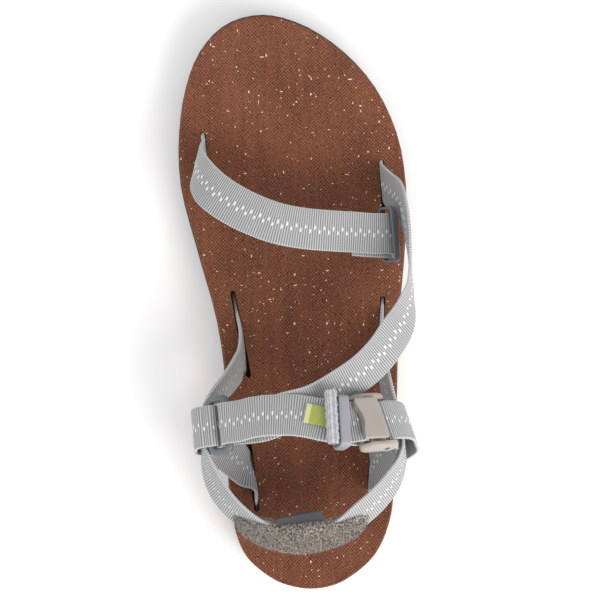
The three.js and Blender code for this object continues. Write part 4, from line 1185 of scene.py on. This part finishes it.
ring_halves = (ring_half, WEBBING_WIDTH / 2 + RING_END_GAP + RING_BAR / 2)
ring_axes = (ankle_ring["a"], ankle_ring["b"], ankle_ring["c"])
rings = (
    ("ankle_ring_body", frame_path(ring_axes, ring_halves, ankle_ring["o"], RING_CORNER),
     (RING_BAR, RING_BAR, 20, 0.85), ring_plastic, "ring_plastic", "ankle_ring"),
    ("toe_ring_body",
     keeper_path(seats["toe_ring"], TOE_RING_LAYERS, -layer_step, TOE_RING_END_GAP, TOE_RING_THICKNESS),
     (TOE_RING_WIDTH, TOE_RING_THICKNESS, 20, 0.55), ring_plastic, "ring_plastic", "toe_ring"),
    ("adjuster_body",
     keeper_path(adjuster, ADJUSTER_LAYERS, FIT_GAP, RING_END_GAP, ADJUSTER_THICKNESS),
     (ADJUSTER_BAR_WIDTH, ADJUSTER_THICKNESS, 24, 0.45), adjuster_plastic, "adjuster_plastic",
     "strap_adjuster"),
)
for name, path, section, finish, slot, stands_for in rings:
    dressed(name, swept(path, rounded(*section), True), finish, slot, stands_for)


# Buckle: domed cheeks, bars and pins, and a lever with a scooped finger edge
LEVER_HALF = BUCKLE_WIDTH / 2 - CHEEK_THICKNESS - 2 * FIT_GAP


def rod(along, out, radius, start, end):
    turns = np.radians(np.arange(0, 360, 15))
    return lofted([
        [local(buckle, along + radius * math.cos(t), out + radius * math.sin(t), across) for t in turns]
        for across in (start, end)
    ])


def domed(outline, levels, place):
    """A plate through copies of an outline, each shrunk to its middle at its own depth."""
    middle = outline.mean(0)
    return lofted([
        [place(*point, depth) for point in middle + (outline - middle) * size]
        for depth, size in levels
    ])


def cheek(side):
    """One cheek of the buckle: a leaf-shaped plate, domed on its outer face."""
    floor, end = -WEBBING_THICKNESS - BUCKLE_BAR / 2, BUCKLE_LENGTH / 2
    top = floor + CHEEK_HEIGHT
    corners = [
        (-end, floor + CHEEK_CORNER), (-end * 0.8, floor), (0, floor), (end * 0.86, floor),
        (end, floor + CHEEK_CORNER), (end, top - CHEEK_CORNER), (end * 0.74, top),
        (0, top + CHEEK_CROWN), (-end * 0.6, top), (-end, top - CHEEK_CORNER),
    ]
    inner = BUCKLE_WIDTH / 2 - CHEEK_THICKNESS
    return domed(
        spline(corners, True, 5), CHEEK_LEVELS,
        lambda x, y, depth: local(buckle, x, y, side * (inner + depth * CHEEK_THICKNESS)))


def lever_plate():
    """The lever: its finger edge sweeps in from a hook on the toe side."""
    front, corner = BUCKLE_BAR, LEVER_CORNER
    finger = [(across * LEVER_HALF, front - LEVER_LENGTH + reach) for across, reach in LEVER_EDGE]
    edge = [(reach, across) for across, reach in spline(finger, False, 6)]
    straight = [(front, -LEVER_HALF + corner), (front + 0.1, 0), (front, LEVER_HALF - corner)]
    ends = [(front - corner, -LEVER_HALF), *straight, (front - corner, LEVER_HALF)]
    base = BUCKLE_BAR / 2 + WEBBING_THICKNESS + 4 * FIT_GAP
    return domed(
        np.array([*edge, *ends]), LEVER_LEVELS,
        lambda x, y, depth: local(buckle, x, base + depth * LEVER_THICKNESS, y))


bar_reach = BUCKLE_WIDTH / 2 - CHEEK_THICKNESS / 2
bars = [rod(along, 0, BUCKLE_BAR / 2, -bar_reach, bar_reach) for along in (-bar_offset, bar_offset)]
pivot = BUCKLE_BAR / 2
knuckle = rod(pivot, pivot, WEBBING_THICKNESS + 3.5 * FIT_GAP, -LEVER_HALF, LEVER_HALF)
pin_end = BUCKLE_WIDTH / 2 + PIN_PROUD
pins = [rod(PIN_ALONG, pivot, PIN_RADIUS, side * (pin_end - 1), side * pin_end) for side in (1, -1)]
for name, parts, finish, stands_for in (
    ("buckle_frame", [cheek(1), cheek(-1), *bars], buckle_plastic, ["buckle_base"]),
    ("buckle_lever_plate", [lever_plate(), knuckle], buckle_plastic, ["buckle_lever"]),
    ("buckle_pin_ends", pins, pin_dark, []),
):
    dressed(name, joined(parts), finish, "buckle_plastic", *stands_for, smooth=50)


# Folded strap end, label, pad and heel tab
def hem_part():
    """The rolled end: webbing folded round a core, wider than the strap, with open ends."""
    middle = STRAP_TAIL[-2]
    centre = np.array([middle["run"], middle["out"]]) * WEBBING_THICKNESS
    section = np.array(rounded(HEM_LENGTH, HEM_THICKNESS, 28, 0.6))
    turns = 2 * math.pi * np.arange(len(section)) / len(section)
    half = HEM_WIDTH / 2
    stops = [(-half + HEM_OPENING, HEM_WALL), (-half, HEM_WALL)]
    stops += [(x, None) for x in np.linspace(-half, half, 49)]
    stops += [(half, HEM_WALL), (half - HEM_OPENING, HEM_WALL)]
    core = [(-half + HEM_OPENING / 2, HEM_CORE), (half - HEM_OPENING / 2, HEM_CORE)]

    def outline(x, size):
        if size is None:
            crease = 0.06 * np.sin(1.3 * x + 2 * turns) + 0.05 * np.sin(2.9 * x - 3 * turns)
            size = (0.88 + 0.12 * min(1, (half - abs(x)) / 1.2) ** 0.5 + crease)[:, None]
        return [local(adjuster, *point, x + HEM_SHIFT) for point in centre + section * size]

    points, faces = joined([lofted([outline(*stop) for stop in part]) for part in (stops, core)])
    m = len(section)
    uvs = []
    for face in faces:
        wall = len(face) == 4
        for index in face:
            ring, turn = divmod(index, m)
            turn += m if wall and turn == 0 and m - 1 in [k % m for k in face] else 0
            uvs.append((0.1 + 0.8 * min(ring / len(stops), 1), turn / 2.4 if wall else 0.5))
    return points, faces, uvs


dressed("strap_end_hem_fold", hem_part(), hem_cloth, "webbing", "strap_end_hem")

places, runs, widths, outs = path_of(instep_rows, steps=18)
on_label = (
    (np.arange(len(places)) > len(places) / 2) & (runs[:, 0] > 0)
    & (places[:, 0] > LABEL_START * BALL_WIDTH) & (places[:, 0] < LABEL_END * BALL_WIDTH)
)
lift = (WEBBING_THICKNESS + LABEL_THICKNESS) / 2 + 1.5 * FIT_GAP
label_points = places[on_label] + outs[on_label] * lift + widths[on_label] * LABEL_SHIFT
label_path = framed(label_points, widths[on_label], False)
label_section = rounded(LABEL_WIDTH, LABEL_THICKNESS, LABEL_SIDES, 0.35)
label = link("side_label", mesh_of("side_label", *swept(label_path, label_section), smooth=60))
label.data.materials.append(label_cloth)
label.data.materials.append(label_fold_cloth)
fold_rings = np.sum(np.linalg.norm(label_points - label_points[0], axis=1) < LABEL_FOLD)
for face in label.data.polygons:
    face.material_index = int(face.index < fold_rings * LABEL_SIDES)
claim(label, "label_fabric", "side_tab")

heel_path = path_of(heel_rows, steps=18)
on_pad = (heel_path[0][:, 1] + HEEL_REST) / SOLE_LENGTH < PAD_REACH
pad_points, _, pad_widths, _ = (data[on_pad] for data in heel_path)
taper = PAD_TIP + (1 - PAD_TIP) * np.sin(np.pi * np.linspace(0, 1, on_pad.sum())).clip(0) ** 0.7
pad_points = pad_points - pad_widths * ((1 - taper) * PAD_HEIGHT / 2)[:, None]
pad_shape = swept(
    framed(pad_points, pad_widths, False), rounded(PAD_HEIGHT, PAD_THICKNESS, 40, 0.7), scale=taper)
pad = link("heel_pad_fleece", mesh_of("heel_pad_fleece", *pad_shape, smooth=80))
grow(pad, FIBRES, Density=FIBRE_DENSITY, Length=FIBRE_LENGTH * MM,
     Thickness=FIBRE_THICKNESS * MM, Material=pad_fleece)
claim(pad, "pad_fleece", "heel_pad")

seat = seats["tab"]
tab_points = np.array([local(seat, along, 0) for along in np.linspace(-TAB_LENGTH / 2, TAB_LENGTH / 2, 25)])
tab_path = framed(tab_points, np.tile(seat["b"], (25, 1)), False)
tab_shape = swept(tab_path, rounded(TAB_HEIGHT, TAB_THICKNESS, 20, 0.4))
dressed("heel_tab_fold", tab_shape, tab_cloth, "tab_fabric", "heel_tab")

# Outsole keeps its CAD solid
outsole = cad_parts["outsole"]
outsole.data.materials.clear()
outsole.data.materials.append(outsole_rubber)


# Floor, light and finish
def floor_and_light():
    mesh = bpy.data.meshes.new("floor")
    mesh.from_pydata([(-3, -3, 0), (3, -3, 0), (3, 3, 0), (-3, 3, 0)], [], [(0, 1, 2, 3)])
    mesh.materials.append(material("floor_paper", Roughness=0.9, Base_Color=(0.95, 0.95, 0.95, 1))[0])
    link("floor", mesh)
    world = bpy.data.worlds.new("studio")
    world.use_nodes = True
    tint, strength = world.node_tree.nodes["Background"].inputs[:2]
    tint.default_value, strength.default_value = (0.975, 0.985, 1, 1), 0.82
    bpy.context.scene.world = world
    for name, place, power in (("key", (0.8, -0.5, 0.75), 15.0), ("fill", (-0.85, -0.1, 0.6), 3.5)):
        lamp = bpy.data.lights.new(name, "AREA")
        lamp.size, lamp.energy = 0.9, power
        lamp.color = (1, 0.975, 0.94)
        made = link(name, lamp)
        made.location = place
        x, y, z = np.array([0, 0.1, 0]) - np.array(place)
        made.rotation_euler = (math.atan2(math.hypot(x, y), -z), 0, math.atan2(y, x) - math.pi / 2)


floor_and_light()
